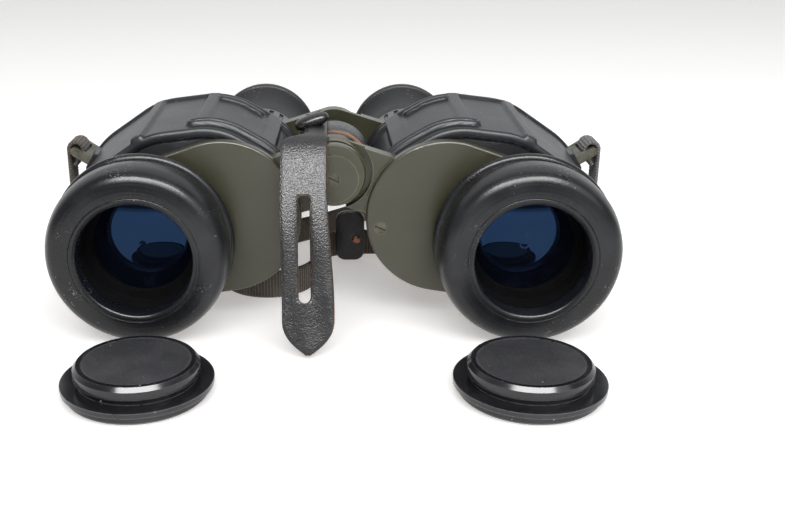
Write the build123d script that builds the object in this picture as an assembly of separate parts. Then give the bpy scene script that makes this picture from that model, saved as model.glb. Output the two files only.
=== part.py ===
from build123d import *
import math
import os

# Porro-prism binoculars with individually focused eyepieces, rubber armour, a leather
# button tab on the hinge, a webbing neck strap and two loose objective caps.
#
# The halves are laid out first in a layout frame: X to the right seen from the objectives,
# Y from the objective mouths (Y = 0) to the eyepieces, Z up from the table.  The finished
# solids are then moved along Y so that the origin is under the middle of the whole set.

# ---------------------------------------------------------------- driving sizes (mm)
OBJECTIVE_SPACING = 146.0      # between the two objective axes
EYE_SPACING = 66.0             # between the two eyepiece axes at rest
HINGE_RISE = 25.4              # hinge axis above the objective axes
EYE_DROP = 11.9                # eyepiece axes below the hinge axis

RUN_GAP = 0.05                 # radial clearance of a running fit
SEAT_GAP = 0.1                 # clearance between pieces seated on each other
LOOSE_GAP = 0.3                # clearance round soft or separately moving pieces

# objective rubber ring
BUMPER_RADIUS = 35.0           # of its rear bead, which stands on the table
BUMPER_FRONT_RADIUS = 34.5     # of its big front roll
BUMPER_MOUTH_RADIUS = 21.8
BUMPER_MOUTH_DEPTH = 7.0
BUMPER_ROLL_Y = 11.5           # widest place of the front roll
BUMPER_GROOVE_Y = 19.4
BUMPER_GROOVE_DEPTH = 1.9
BUMPER_BEAD_WIDTH = 4.4
BUMPER_LIP_WIDTH = 1.4

# objective tube and its glass
TUBE_RADIUS = 24.0
TUBE_WALL = 1.8
RETAINER_Y = 19.0
RETAINER_LENGTH = 2.6
RETAINER_WIDTH = 3.2
LENS_EDGE = 5.0
LENS_FRONT_SPHERE = 95.0
LENS_REAR_SPHERE = 300.0

# front cover, prism housing, rear cover (places along Y and walls)
COVER_Y = 28.5
COVER_THICKNESS = 4.0
HOUSING_LENGTH = 57.5
HOUSING_WALL = 2.5
REAR_COVER_THICKNESS = 4.0
HOUSING_TAPER = 3.5            # how much smaller every round of the section is at the front
COVER_EDGE = 1.0
REAR_EDGE = 0.8

# round shapes that the housing section is drawn round: (inward from the objective axis,
# upward from it, radius) at the rear end.  One more, round the objective axis, follows
# from the height at which the armour stands on the table.
HOUSING_ROUNDS = [(29.0, 8.0, 29.5), (23.0, 14.5, 26.8), (11.0, 11.5, 28.3)]
COVER_ROUNDS = [(30.0, 7.5, 30.5), (0.0, 0.0, 27.7)]

# rubber armour
ARMOUR_WALL = 3.8
ARMOUR_START = 5.5             # behind the front cover
ARMOUR_LENGTH = 50.0
ARMOUR_INNER_EDGE_Z = 58.5     # height of its edge beside the hinge
ARMOUR_LOWER_EDGE_X = 59.0     # its edge under the housing, from the middle
RIB_WIDTH = 4.5
RIB_HEIGHT = 0.9
RIB_INSET = 2.0                # from the armour's front and rear edges
RIB_PLACES = [(0, 125.0), (1, 90.0), (2, 68.0)]    # (which housing round, angle round it)

# hinge
HINGE_RADIUS = 12.3
KNUCKLE_LENGTH = 6.2
KNUCKLE_RELIEF = 15.0          # the other half's arm is cut back to this radius
AXLE_RADIUS = 4.0
SPACER_RADIUS = 8.5
ARM_THICKNESS = 6.0
ARM_REACH = 24.0
ARM_DROP = 7.4
ARM_END_RADIUS = 12.0
CAP_THICKNESS = 2.6
CAP_FACE_RADIUS = 9.4
CAP_FACE_RISE = 0.8
CAP_FACE_DROP = 1.4            # the raised face of the front disc sits low
HINGE_SCREW_RADIUS = 2.3

# prisms and their shelf
PRISM_LENGTH = 46.0
PRISM_WIDTH = 19.0
SHELF_Y = 62.0
SHELF_THICKNESS = 3.0
LIGHT_HOLE_RADIUS = 8.5

# eyepieces
SLEEVE_RADIUS = 15.0
SLEEVE_WALL = 1.6
SLEEVE_LENGTH = 26.0
BARREL_LENGTH = 44.0
BARREL_WALL = 1.5
BARREL_FLANGE_RADIUS = 15.6
BARREL_FLANGE = 2.0
FOCUS_RING_START = 7.2         # behind the rear cover
FOCUS_RING_LENGTH = 15.0
FOCUS_RING_RADIUS = 18.6
FOCUS_FLUTES = 24
FOCUS_FLUTE_RADIUS = 1.1
FOCUS_TRAVEL = 2.4             # each way from the middle
EYECUP_LENGTH = 31.0
EYECUP_ROOT_RADIUS = 17.6
EYECUP_WAIST_RADIUS = 17.9
EYECUP_WAIST = 13.0            # from its front end
EYECUP_RIM_RADIUS = 24.0
EYECUP_RIM = 3.4               # width of its rolled rim
EYECUP_MOUTH_RADIUS = 12.6
EYECUP_FACE_RADIUS = 20.5
EYECUP_RECESS = 9.0
EYECUP_GRIP = 8.0              # how far it grips the barrel
EYE_LENS_EDGE = 3.0
EYE_LENS_FRONT_SPHERE = 1200.0
EYE_LENS_REAR_SPHERE = 120.0

# cover screws
SCREW_RADIUS = 2.3
SCREW_HEAD = 1.2
SCREW_SHANK_RADIUS = 1.3
SCREW_SHANK_LENGTH = 4.6
SCREW_SLOT_WIDTH = 0.6
SCREW_X = 18.2
SCREW_Z = 38.5

# strap lugs
LUG_ANGLE = 33.0               # above level, round the objective axis
LUG_BEFORE_COVER = 2.0         # between its rear edge and the rear cover
LUG_WIDTH = 18.0
LUG_THICKNESS = 3.6
LUG_BAR_RADIUS = 1.6
LUG_STANDOUT = 8.0             # bar's axis beyond the armour
LUG_SLOT_WIDTH = 13.0
LUG_SLOT_HEIGHT = 4.4

# leather button tab
LEATHER = 2.0
TAB_LEFT = -20.0
TAB_WIDTH = 18.4
TAB_WIDENING = 1.4             # each side, at its lower end
TAB_TIP_LENGTH = 9.0
TAB_SLOT_WIDTH = 4.4
TAB_SLOT_LOW = 16.0
TAB_SLOT_HIGH = 56.0
TAB_FRONT_GAP = 1.1            # from the face of the hinge disc
TAB_LEAN = 25.5                # how far forward its tip stands
TAB_LOOP_Y = 50.0
TAB_LOOP_WIDTH = 16.0

# loose objective caps
CAP_PLUG_RADIUS = 21.7
CAP_PLUG_HEIGHT = 6.6
CAP_FLANGE_RADIUS = 26.4
CAP_FLANGE_HEIGHT = 1.8
CAP_DISC_RADIUS = 24.6
CAP_DISC_HEIGHT = 3.4
CAP_NECK_DEPTH = 1.3
CAP_NECK_HEIGHT = 1.8
CAP_INLAY_RADIUS = 18.6
CAP_INLAY_DEPTH = 0.9
CAP_X = 67.5
CAP_Y = -34.0

# neck strap
STRAP_WIDTH = 12.0
STRAP_THICKNESS = 1.7
STRAP_TUBE_RADIUS = 2.8
STRAP_TAIL = 16.0
FITTING_WIDTH = 13.0
FITTING_HEIGHT = 23.5
FITTING_THICKNESS = 2.6
FITTING_Y = 98.8               # its rear face, against the webbing
FITTING_X = 7.5
RIVET_RADIUS = 1.9

# ---------------------------------------------------------------- derived places
OBJ_X = OBJECTIVE_SPACING / 2
OBJ_Z = BUMPER_RADIUS
EYE_X = EYE_SPACING / 2
HINGE_Z = OBJ_Z + HINGE_RISE
EYE_Z = HINGE_Z - EYE_DROP
HOUSING_Y = COVER_Y + COVER_THICKNESS
REAR_COVER_Y = HOUSING_Y + HOUSING_LENGTH
REAR_FACE_Y = REAR_COVER_Y + REAR_COVER_THICKNESS
ARMOUR_Y = COVER_Y + ARMOUR_START
FRONT_ARM_Y = COVER_Y + 0.75 * COVER_THICKNESS
REAR_ARM_Y = REAR_COVER_Y - 0.35 * ARM_THICKNESS
BARREL_RADIUS = SLEEVE_RADIUS - SLEEVE_WALL - RUN_GAP
BARREL_Y = REAR_FACE_Y + FOCUS_TRAVEL + 2.0
FOCUS_RING_Y = REAR_FACE_Y + FOCUS_RING_START
EYECUP_Y = FOCUS_RING_Y + FOCUS_RING_LENGTH + FOCUS_TRAVEL + 1.0
EYECUP_END_Y = EYECUP_Y + EYECUP_LENGTH
ARMOUR_END_Y = ARMOUR_Y + ARMOUR_LENGTH
LUG_Y = REAR_COVER_Y - LUG_BEFORE_COVER - LUG_WIDTH / 2
LUG_BAR_REACH = BUMPER_RADIUS + LUG_STANDOUT       # bar's distance from the objective axis
STAND_ROUND = (BUMPER_RADIUS - ARMOUR_WALL
               + HOUSING_TAPER * (REAR_COVER_Y - ARMOUR_END_Y) / HOUSING_LENGTH)
ALL_ROUNDS = HOUSING_ROUNDS + [(0.0, 0.0, STAND_ROUND)]
MIDDLE_Y = (CAP_Y - CAP_FLANGE_RADIUS + EYECUP_END_Y) / 2


# ---------------------------------------------------------------- small helpers
def section_plane(y):
    """Sketch plane across the binoculars: sketch x is X, sketch y is Z, at this Y."""
    return Plane((0, y, 0), x_dir=(1, 0, 0), z_dir=(0, -1, 0))


def slab(sketch, y_front, y_rear):
    """A sketch in X and Z drawn out from y_front to y_rear."""
    return extrude(section_plane(y_rear) * sketch, y_rear - y_front)


def rod(x, z, radius, y_front, y_rear):
    """A round bar along Y."""
    return slab(Pos(x, z) * Circle(radius), y_front, y_rear)


def turned(points_or_lines, x, z):
    """A profile of (radius, y) turned about the axis along Y through (x, z)."""
    face = make_face(points_or_lines)
    return Pos(x, 0, z) * revolve(face, Axis.Y)


def surround(rounds):
    """The outline stretched round a list of circles (x, z, radius)."""
    return make_hull([e for x, z, r in rounds for e in (Pos(x, z) * Circle(r)).edges()])


def grown(rounds, amount):
    return [(x, z, r + amount) for x, z, r in rounds]


def placed(rounds):
    """Section rounds given from the objective axis, on the right-hand half."""
    return [(OBJ_X - inward, OBJ_Z + up, r) for inward, up, r in rounds]


def tapered(rounds, y_front, y_rear):
    """The housing section drawn out along Y, with the taper of the whole housing."""
    def taper_at(y):
        return -HOUSING_TAPER * (REAR_COVER_Y - y) / HOUSING_LENGTH
    sections = [section_plane(y) * surround(grown(rounds, taper_at(y)))
                for y in (y_front, y_rear)]
    return loft(sections, ruled=True)


def sphere_rise(sphere, radius):
    """How far a cap of this radius stands out of a sphere's flat cut."""
    return sphere - math.sqrt(sphere ** 2 - radius ** 2)


def lens(radius, edge, front_sphere, rear_sphere, y_front, x, z):
    """A biconvex lens whose rim starts at y_front."""
    front_rise = sphere_rise(front_sphere, radius)
    rear_rise = sphere_rise(rear_sphere, radius)
    y_rear = y_front + edge
    middle = radius / 2
    front_mid = y_front - front_rise + sphere_rise(front_sphere, middle)
    rear_mid = y_rear + rear_rise - sphere_rise(rear_sphere, middle)
    outline = (ThreePointArc((0, y_front - front_rise), (middle, front_mid), (radius, y_front)).edges()
               + Line((radius, y_front), (radius, y_rear)).edges()
               + ThreePointArc((radius, y_rear), (middle, rear_mid), (0, y_rear + rear_rise)).edges()
               + Line((0, y_rear + rear_rise), (0, y_front - front_rise)).edges())
    return turned(outline, x, z)


def slotted_head(solid, x, z, y_front, radius, width, depth):
    return solid - Pos(x, y_front + depth / 2, z) * Rot(0, 25, 0) * Box(2 * radius + 1, depth, width)


# ---------------------------------------------------------------- one half, right-hand
def housing_outer(growth=0.0, y_front=HOUSING_Y, y_rear=REAR_COVER_Y):
    return tapered(grown(placed(ALL_ROUNDS), growth), y_front, y_rear)


def front_cover_blank():
    return slab(surround(placed(COVER_ROUNDS)), COVER_Y, HOUSING_Y)


def rear_cover_blank():
    return slab(surround(placed(ALL_ROUNDS)), REAR_COVER_Y, REAR_FACE_Y)


def light_axis():
    """Middle light path between the two prisms, and the two shift directions."""
    dx, dz = EYE_X - OBJ_X, EYE_Z - OBJ_Z
    shift = math.hypot(dx, dz) / math.sqrt(2)
    angle = math.atan2(dz, dx)
    first, second = angle - math.pi / 4, angle + math.pi / 4
    middle = (OBJ_X + shift * math.cos(first), OBJ_Z + shift * math.sin(first))
    return middle, math.degrees(first), math.degrees(second)


def porro_prism(x, z, angle, y_base, towards, cavity):
    """A right-angle prism: base face at y_base, apex towards +Y (1) or -Y (-1)."""
    half = PRISM_LENGTH / 2
    side = make_face(Polyline((-half, y_base), (half, y_base), (0, y_base + towards * half),
                              close=True).edges())
    wedge = extrude(side, PRISM_WIDTH / 2, both=True)
    turned_wedge = Pos(x, 0, z) * Rot(0, -angle, 0) * wedge
    return turned_wedge & cavity


def hinge_arm(y_front, knuckle_y, relief_y, housing_solids):
    """Flat arm from the hinge knuckle to the housing, cut to fit round the housing."""
    outline = surround([(0, HINGE_Z, HINGE_RADIUS), (ARM_REACH, HINGE_Z - ARM_DROP, ARM_END_RADIUS)])
    arm = slab(outline, y_front, y_front + ARM_THICKNESS)
    arm -= rod(0, HINGE_Z, KNUCKLE_RELIEF, relief_y[0], relief_y[1])
    arm += rod(0, HINGE_Z, HINGE_RADIUS, knuckle_y[0], knuckle_y[1])
    arm -= rod(0, HINGE_Z, AXLE_RADIUS + RUN_GAP, knuckle_y[0] - 1, knuckle_y[1] + 1)
    for solid in housing_solids:
        arm -= solid
    return arm


def armour_rib(housing_round, angle, y_front, y_rear):
    """A flat rib along Y, standing a little proud of the armour, at an angle round it."""
    x, z, radius = housing_round
    corners = []
    for y in (y_front, y_rear):
        surface = radius + ARMOUR_WALL - HOUSING_TAPER * (REAR_COVER_Y - y) / HOUSING_LENGTH
        corners.append([(surface + RIB_HEIGHT, y), (surface - ARMOUR_WALL / 2, y)])
    side = Polyline(corners[0][0], corners[1][0], corners[1][1], corners[0][1], close=True)
    rib = extrude(make_face(side.edges()), RIB_WIDTH / 2, both=True)
    return Pos(x, 0, z) * Rot(0, -angle, 0) * rib


def bumper_profile():
    """Outline (radius, y) of the rubber ring round an objective."""
    bead_y = BUMPER_GROOVE_Y + 0.6 + BUMPER_BEAD_WIDTH / 2
    tail_y = COVER_Y - SEAT_GAP
    inner = TUBE_RADIUS + SEAT_GAP
    roll_start = (BUMPER_MOUTH_RADIUS + BUMPER_LIP_WIDTH, 0.0)
    roll_top = (BUMPER_FRONT_RADIUS, BUMPER_ROLL_Y)
    reach = roll_top[0] - roll_start[0]
    roll_mid = (roll_start[0] + 0.735 * reach, 0.27 * BUMPER_ROLL_Y)
    groove_r = BUMPER_FRONT_RADIUS - BUMPER_GROOVE_DEPTH
    bead_half = BUMPER_BEAD_WIDTH / 2
    neck_r = BUMPER_RADIUS - 2.2
    mouth_end = (BUMPER_MOUTH_RADIUS, BUMPER_MOUTH_DEPTH)
    lines = [
        ThreePointArc(roll_start, roll_mid, roll_top),
        Line(roll_top, (BUMPER_FRONT_RADIUS - 0.3, BUMPER_GROOVE_Y - 1.1)),
        Line((BUMPER_FRONT_RADIUS - 0.3, BUMPER_GROOVE_Y - 1.1), (groove_r, BUMPER_GROOVE_Y)),
        Line((groove_r, BUMPER_GROOVE_Y), (groove_r + 0.3, bead_y - bead_half)),
        ThreePointArc((groove_r + 0.3, bead_y - bead_half), (BUMPER_RADIUS, bead_y),
                      (neck_r, bead_y + bead_half)),
        Line((neck_r, bead_y + bead_half), (neck_r - 0.6, tail_y)),
        Line((neck_r - 0.6, tail_y), (inner, tail_y)),
        Line((inner, tail_y), (inner, BUMPER_MOUTH_DEPTH)),
        Line((inner, BUMPER_MOUTH_DEPTH), mouth_end),
        Line(mouth_end, (BUMPER_MOUTH_RADIUS, 0.8)),
        Line((BUMPER_MOUTH_RADIUS, 0.8), roll_start),
    ]
    return [e for line in lines for e in line.edges()]


def eyecup_profile():
    """Outline (radius, y) of a rubber eyecup."""
    y0, y1 = EYECUP_Y, EYECUP_END_Y
    skirt = SLEEVE_RADIUS + LOOSE_GAP
    seat = y1 - EYECUP_RECESS - EYE_LENS_EDGE - EYECUP_GRIP
    roll_y = y1 - EYECUP_RIM
    waist = (EYECUP_WAIST_RADIUS, y0 + EYECUP_WAIST)
    flare = (EYECUP_RIM_RADIUS, roll_y)
    flare_mid = (0.72 * waist[0] + 0.28 * flare[0], 0.45 * waist[1] + 0.55 * flare[1])
    lines = [
        Line((skirt, y0), (EYECUP_ROOT_RADIUS, y0)),
        Line((EYECUP_ROOT_RADIUS, y0), waist),
        ThreePointArc(waist, flare_mid, flare),
        ThreePointArc(flare, (EYECUP_RIM_RADIUS - 0.9, y1 - 0.9), (EYECUP_FACE_RADIUS, y1)),
        Line((EYECUP_FACE_RADIUS, y1), (EYECUP_MOUTH_RADIUS, y1 - EYECUP_RECESS)),
        Line((EYECUP_MOUTH_RADIUS, y1 - EYECUP_RECESS), (BARREL_RADIUS + SEAT_GAP, y1 - EYECUP_RECESS)),
        Line((BARREL_RADIUS + SEAT_GAP, y1 - EYECUP_RECESS), (BARREL_RADIUS + SEAT_GAP, seat)),
        Line((BARREL_RADIUS + SEAT_GAP, seat), (skirt, seat - 1.5)),
        Line((skirt, seat - 1.5), (skirt, y0)),
    ]
    return [e for line in lines for e in line.edges()]


def lug_frame():
    """Plane at the objective axis: its x points out along the lug, its y along Y."""
    a = math.radians(LUG_ANGLE)
    return Plane((OBJ_X, LUG_Y, OBJ_Z), x_dir=(math.cos(a), 0, math.sin(a)),
                 z_dir=(math.sin(a), 0, -math.cos(a)))


def strap_bar_place():
    a = math.radians(LUG_ANGLE)
    return OBJ_X + LUG_BAR_REACH * math.cos(a), OBJ_Z + LUG_BAR_REACH * math.sin(a)


def build_half():
    """All pieces of the right-hand half by plain name, before the knuckles are chosen."""
    pieces = {}
    outer = housing_outer()
    cavity = tapered(grown(placed(ALL_ROUNDS), -HOUSING_WALL), HOUSING_Y + HOUSING_WALL, REAR_COVER_Y)
    tube_hole = rod(OBJ_X, OBJ_Z, TUBE_RADIUS + SEAT_GAP, COVER_Y - 1, HOUSING_Y + HOUSING_WALL + 1)
    screw_hole = rod(SCREW_X, SCREW_Z, SCREW_SHANK_RADIUS + SEAT_GAP, COVER_Y - 1, HOUSING_Y + 6)
    head_hole = rod(SCREW_X, SCREW_Z, SCREW_RADIUS + SEAT_GAP, COVER_Y - 1, COVER_Y + SCREW_HEAD)
    pieces["prism_housing"] = outer - cavity - tube_hole - screw_hole

    cover = front_cover_blank()
    front_rim = cover.faces().sort_by(Axis.Y)[0].outer_wire().edges()
    cover = fillet(front_rim, COVER_EDGE) - tube_hole - screw_hole - head_hole
    pieces["front_cover"] = cover

    rear = rear_cover_blank()
    rear_rim = rear.faces().sort_by(Axis.Y)[-1].outer_wire().edges()
    rear = fillet(rear_rim, REAR_EDGE) - rod(EYE_X, EYE_Z, SLEEVE_RADIUS + SEAT_GAP,
                                             REAR_COVER_Y - 1, REAR_FACE_Y + 1)
    pieces["rear_cover"] = rear

    # rubber armour over the top, the outer side and the lower outer corner
    armour = housing_outer(ARMOUR_WALL, ARMOUR_Y, ARMOUR_END_Y)
    open_side = Polyline((-60, ARMOUR_INNER_EDGE_Z), (36, ARMOUR_INNER_EDGE_Z - 9),
                         (ARMOUR_LOWER_EDGE_X, OBJ_Z - 5), (ARMOUR_LOWER_EDGE_X, -60),
                         (-60, -60), close=True)
    lug_plane = lug_frame()
    lug_reach = LUG_BAR_REACH + LUG_BAR_RADIUS
    lug_root = placed(ALL_ROUNDS)[-1][2] - HOUSING_WALL
    lug_body = extrude(lug_plane * Pos((lug_root + LUG_BAR_REACH) / 2, 0)
                       * Rectangle(LUG_BAR_REACH - lug_root, LUG_WIDTH), LUG_THICKNESS / 2, both=True)
    lug_slot = extrude(lug_plane * Pos(LUG_BAR_REACH - LUG_SLOT_HEIGHT / 2, 0)
                       * Rectangle(LUG_SLOT_HEIGHT, LUG_SLOT_WIDTH), LUG_THICKNESS, both=True)
    bar_x, bar_z = strap_bar_place()
    bar = rod(bar_x, bar_z, LUG_BAR_RADIUS, LUG_Y - LUG_WIDTH / 2, LUG_Y + LUG_WIDTH / 2)
    pieces["strap_lug"] = (lug_body - lug_slot + bar) - outer
    armour = armour - outer - slab(make_face(open_side.edges()), 0, REAR_FACE_Y + 20)
    for which, angle in RIB_PLACES:
        armour += armour_rib(placed(ALL_ROUNDS)[which], angle, ARMOUR_Y + RIB_INSET,
                             ARMOUR_END_Y - RIB_INSET)
    armour -= lug_body
    pieces["armour"] = armour

    # objective tube, ring, glass and rubber
    tube_bore = TUBE_RADIUS - TUBE_WALL
    tube_front = BUMPER_MOUTH_DEPTH + SEAT_GAP
    tube_rear = HOUSING_Y + HOUSING_WALL
    pieces["objective_tube"] = (rod(OBJ_X, OBJ_Z, TUBE_RADIUS, tube_front, tube_rear)
                                - rod(OBJ_X, OBJ_Z, tube_bore, tube_front - 1, tube_rear + 1))
    lens_r = tube_bore - SEAT_GAP / 2
    opening_r = lens_r - RETAINER_WIDTH
    retainer_rear = RETAINER_Y + RETAINER_LENGTH
    pieces["objective_retainer"] = (rod(OBJ_X, OBJ_Z, lens_r, RETAINER_Y, retainer_rear)
                                    - rod(OBJ_X, OBJ_Z, opening_r, RETAINER_Y - 1, retainer_rear + 1))
    bulge = sphere_rise(LENS_FRONT_SPHERE, lens_r) - sphere_rise(LENS_FRONT_SPHERE, opening_r)
    pieces["objective_lens"] = lens(lens_r, LENS_EDGE, LENS_FRONT_SPHERE, LENS_REAR_SPHERE,
                                    retainer_rear + bulge + SEAT_GAP, OBJ_X, OBJ_Z)
    pieces["objective_bumper"] = turned(bumper_profile(), OBJ_X, OBJ_Z)

    # prisms on their shelf
    (mid_x, mid_z), first, second = light_axis()
    room = tapered(grown(placed(ALL_ROUNDS), -HOUSING_WALL - SEAT_GAP),
                   HOUSING_Y + HOUSING_WALL + SEAT_GAP, REAR_COVER_Y - SEAT_GAP)
    shelf_rear = SHELF_Y + SHELF_THICKNESS
    keep = slab(Rectangle(400, 400), SHELF_Y, shelf_rear)
    shelf = room & keep
    for x, z in ((OBJ_X, OBJ_Z), (mid_x, mid_z), (EYE_X, EYE_Z)):
        shelf -= rod(x, z, LIGHT_HOLE_RADIUS, SHELF_Y - 1, shelf_rear + 1)
    pieces["prism_shelf"] = shelf
    pieces["rear_prism"] = porro_prism((OBJ_X + mid_x) / 2, (OBJ_Z + mid_z) / 2, first,
                                       shelf_rear, 1, room)
    pieces["front_prism"] = porro_prism((EYE_X + mid_x) / 2, (EYE_Z + mid_z) / 2, second,
                                        SHELF_Y, -1, room)

    # eyepiece: fixed sleeve, sliding barrel with glass and rubber, turning focus ring
    sleeve_rear = REAR_FACE_Y + SLEEVE_LENGTH - REAR_COVER_THICKNESS
    pieces["eyepiece_sleeve"] = (rod(EYE_X, EYE_Z, SLEEVE_RADIUS, REAR_COVER_Y, sleeve_rear)
                                 - rod(EYE_X, EYE_Z, SLEEVE_RADIUS - SLEEVE_WALL,
                                       REAR_COVER_Y - 1, sleeve_rear + 1))
    glass_y = EYECUP_END_Y - EYECUP_RECESS - EYE_LENS_EDGE
    barrel_end = glass_y - SEAT_GAP
    barrel = (rod(EYE_X, EYE_Z, BARREL_RADIUS, BARREL_Y, barrel_end)
              - rod(EYE_X, EYE_Z, BARREL_RADIUS - BARREL_WALL, BARREL_Y - 1, barrel_end + 1))
    pieces["eyepiece_barrel"] = barrel
    pieces["eye_lens"] = lens(BARREL_RADIUS, EYE_LENS_EDGE - 2 * SEAT_GAP, EYE_LENS_FRONT_SPHERE,
                              EYE_LENS_REAR_SPHERE, glass_y, EYE_X, EYE_Z)
    pieces["eyecup"] = turned(eyecup_profile(), EYE_X, EYE_Z)
    ring_rear = FOCUS_RING_Y + FOCUS_RING_LENGTH
    ring = rod(EYE_X, EYE_Z, FOCUS_RING_RADIUS, FOCUS_RING_Y, ring_rear)
    ring = chamfer(ring.edges().filter_by(GeomType.CIRCLE), 0.8)
    for i in range(FOCUS_FLUTES):
        a = 2 * math.pi * i / FOCUS_FLUTES
        ring -= rod(EYE_X + (FOCUS_RING_RADIUS + 0.4) * math.cos(a),
                    EYE_Z + (FOCUS_RING_RADIUS + 0.4) * math.sin(a),
                    FOCUS_FLUTE_RADIUS, FOCUS_RING_Y + 2.2, ring_rear - 2.2)
    ring -= rod(EYE_X, EYE_Z, SLEEVE_RADIUS + RUN_GAP, FOCUS_RING_Y - 1, ring_rear + 1)
    pieces["focus_ring"] = ring

    screw = (rod(SCREW_X, SCREW_Z, SCREW_RADIUS, COVER_Y, COVER_Y + SCREW_HEAD - SEAT_GAP)
             + rod(SCREW_X, SCREW_Z, SCREW_SHANK_RADIUS, COVER_Y, COVER_Y + SCREW_SHANK_LENGTH))
    pieces["cover_screw"] = slotted_head(screw, SCREW_X, SCREW_Z, COVER_Y, SCREW_RADIUS,
                                         SCREW_SLOT_WIDTH, 0.6)
    return pieces


def strap_end_loop():
    """Webbing folded round the right-hand lug's bar and sewn, hanging down behind it."""
    bar_x, bar_z = strap_bar_place()
    inner = LUG_BAR_RADIUS + LOOSE_GAP
    outer = inner + STRAP_THICKNESS
    y0, y1 = LUG_Y - STRAP_WIDTH / 2, LUG_Y + STRAP_WIDTH / 2
    ring = rod(bar_x, bar_z, outer, y0, y1)
    tail = slab(Pos(bar_x + outer - STRAP_THICKNESS, bar_z - STRAP_TAIL / 2)
                * Rectangle(2 * STRAP_THICKNESS, STRAP_TAIL), y0, y1)
    loop = ring + tail - rod(bar_x, bar_z, inner, y0 - 1, y1 + 1)
    return loop, (bar_x + outer - STRAP_THICKNESS, LUG_Y, bar_z - STRAP_TAIL - 2 * LOOSE_GAP)


# ---------------------------------------------------------------- hinge
FRONT_KNUCKLE_Y = COVER_Y
FRONT_INNER_KNUCKLE_Y = FRONT_KNUCKLE_Y + KNUCKLE_LENGTH + 2 * SEAT_GAP
REAR_KNUCKLE_Y = REAR_ARM_Y + ARM_THICKNESS / 2 + SEAT_GAP
REAR_INNER_KNUCKLE_Y = REAR_KNUCKLE_Y - 2 * SEAT_GAP - KNUCKLE_LENGTH
HINGE_END_Y = REAR_KNUCKLE_Y + KNUCKLE_LENGTH


def arms_of(side, half):
    """Front and rear hinge arm.  The left half holds the outer knuckles, the right the inner."""
    sleeve = rod(EYE_X, EYE_Z, SLEEVE_RADIUS + SEAT_GAP, REAR_COVER_Y, REAR_FACE_Y + SLEEVE_LENGTH)
    around = [front_cover_blank(), housing_outer(), rear_cover_blank(), half["armour"], sleeve]
    front_split = FRONT_INNER_KNUCKLE_Y - SEAT_GAP
    rear_split = REAR_KNUCKLE_Y - SEAT_GAP
    far = 2 * KNUCKLE_LENGTH
    if side == "left":
        front = hinge_arm(FRONT_ARM_Y, (FRONT_KNUCKLE_Y, FRONT_KNUCKLE_Y + KNUCKLE_LENGTH),
                          (front_split - SEAT_GAP, front_split + far), around)
        rear = hinge_arm(REAR_ARM_Y, (REAR_KNUCKLE_Y, HINGE_END_Y),
                         (rear_split - far, rear_split + SEAT_GAP), around)
    else:
        front = hinge_arm(FRONT_ARM_Y, (FRONT_INNER_KNUCKLE_Y, FRONT_INNER_KNUCKLE_Y + KNUCKLE_LENGTH),
                          (front_split - far, front_split + SEAT_GAP), around)
        rear = hinge_arm(REAR_ARM_Y, (REAR_INNER_KNUCKLE_Y, REAR_INNER_KNUCKLE_Y + KNUCKLE_LENGTH),
                         (rear_split - SEAT_GAP, rear_split + far), around)
    return front, rear


def hinge_pieces():
    """Axle, the spacer round it, the two end discs and the screw in the front one."""
    pieces = {}
    front = FRONT_KNUCKLE_Y - SEAT_GAP
    disc_front = front - CAP_THICKNESS
    face_front = disc_front - CAP_FACE_RISE
    face_z = HINGE_Z - CAP_FACE_DROP
    screw_seat = SCREW_HEAD + SEAT_GAP
    spacer_front = FRONT_INNER_KNUCKLE_Y + KNUCKLE_LENGTH + SEAT_GAP
    spacer_rear = REAR_INNER_KNUCKLE_Y - SEAT_GAP
    pieces["hinge_axle"] = rod(0, HINGE_Z, AXLE_RADIUS, FRONT_KNUCKLE_Y, HINGE_END_Y)
    pieces["hinge_spacer"] = (rod(0, HINGE_Z, SPACER_RADIUS, spacer_front, spacer_rear)
                              - rod(0, HINGE_Z, AXLE_RADIUS + RUN_GAP, spacer_front - 1, spacer_rear + 1))
    disc = rod(0, HINGE_Z, HINGE_RADIUS, disc_front, front)
    disc = chamfer(disc.faces().sort_by(Axis.Y)[0].edges(), 0.7)
    disc += rod(0, face_z, CAP_FACE_RADIUS, face_front, front)
    disc -= rod(0, face_z, HINGE_SCREW_RADIUS + SEAT_GAP, face_front - 1, face_front + screw_seat)
    pieces["hinge_front_disc"] = disc
    screw = rod(0, face_z, HINGE_SCREW_RADIUS, face_front, face_front + SCREW_HEAD)
    pieces["hinge_screw"] = slotted_head(screw, 0, face_z, face_front, HINGE_SCREW_RADIUS,
                                         SCREW_SLOT_WIDTH, SCREW_HEAD / 2)
    rear = rod(0, HINGE_Z, HINGE_RADIUS - 1.5, HINGE_END_Y + SEAT_GAP, HINGE_END_Y + SEAT_GAP + CAP_THICKNESS)
    pieces["hinge_rear_disc"] = chamfer(rear.faces().sort_by(Axis.Y)[-1].edges(), 0.8)
    return pieces


# ---------------------------------------------------------------- leather button tab
def tab_centreline():
    """Middle of the leather in side view (Y, Z): from the hinge, over the front knuckle, down."""
    top_z = HINGE_Z + HINGE_RADIUS + LOOSE_GAP + LEATHER / 2
    face_y = FRONT_KNUCKLE_Y - SEAT_GAP - CAP_THICKNESS - CAP_FACE_RISE - TAB_FRONT_GAP - LEATHER / 2
    floor_z = LEATHER / 2 + LOOSE_GAP
    drop = top_z - floor_z
    return [(TAB_LOOP_Y + TAB_LOOP_WIDTH - 4.0, top_z + 1.6), (TAB_LOOP_Y - 4.0, top_z + 0.9),
            (FRONT_KNUCKLE_Y - 0.5, top_z + 0.6), (face_y + 0.3, top_z - 3.4),
            (face_y - 0.9, top_z - 0.22 * drop), (face_y - 0.22 * TAB_LEAN, top_z - 0.52 * drop),
            (face_y - 0.58 * TAB_LEAN, top_z - 0.8 * drop), (face_y - TAB_LEAN, floor_z)]


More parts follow.
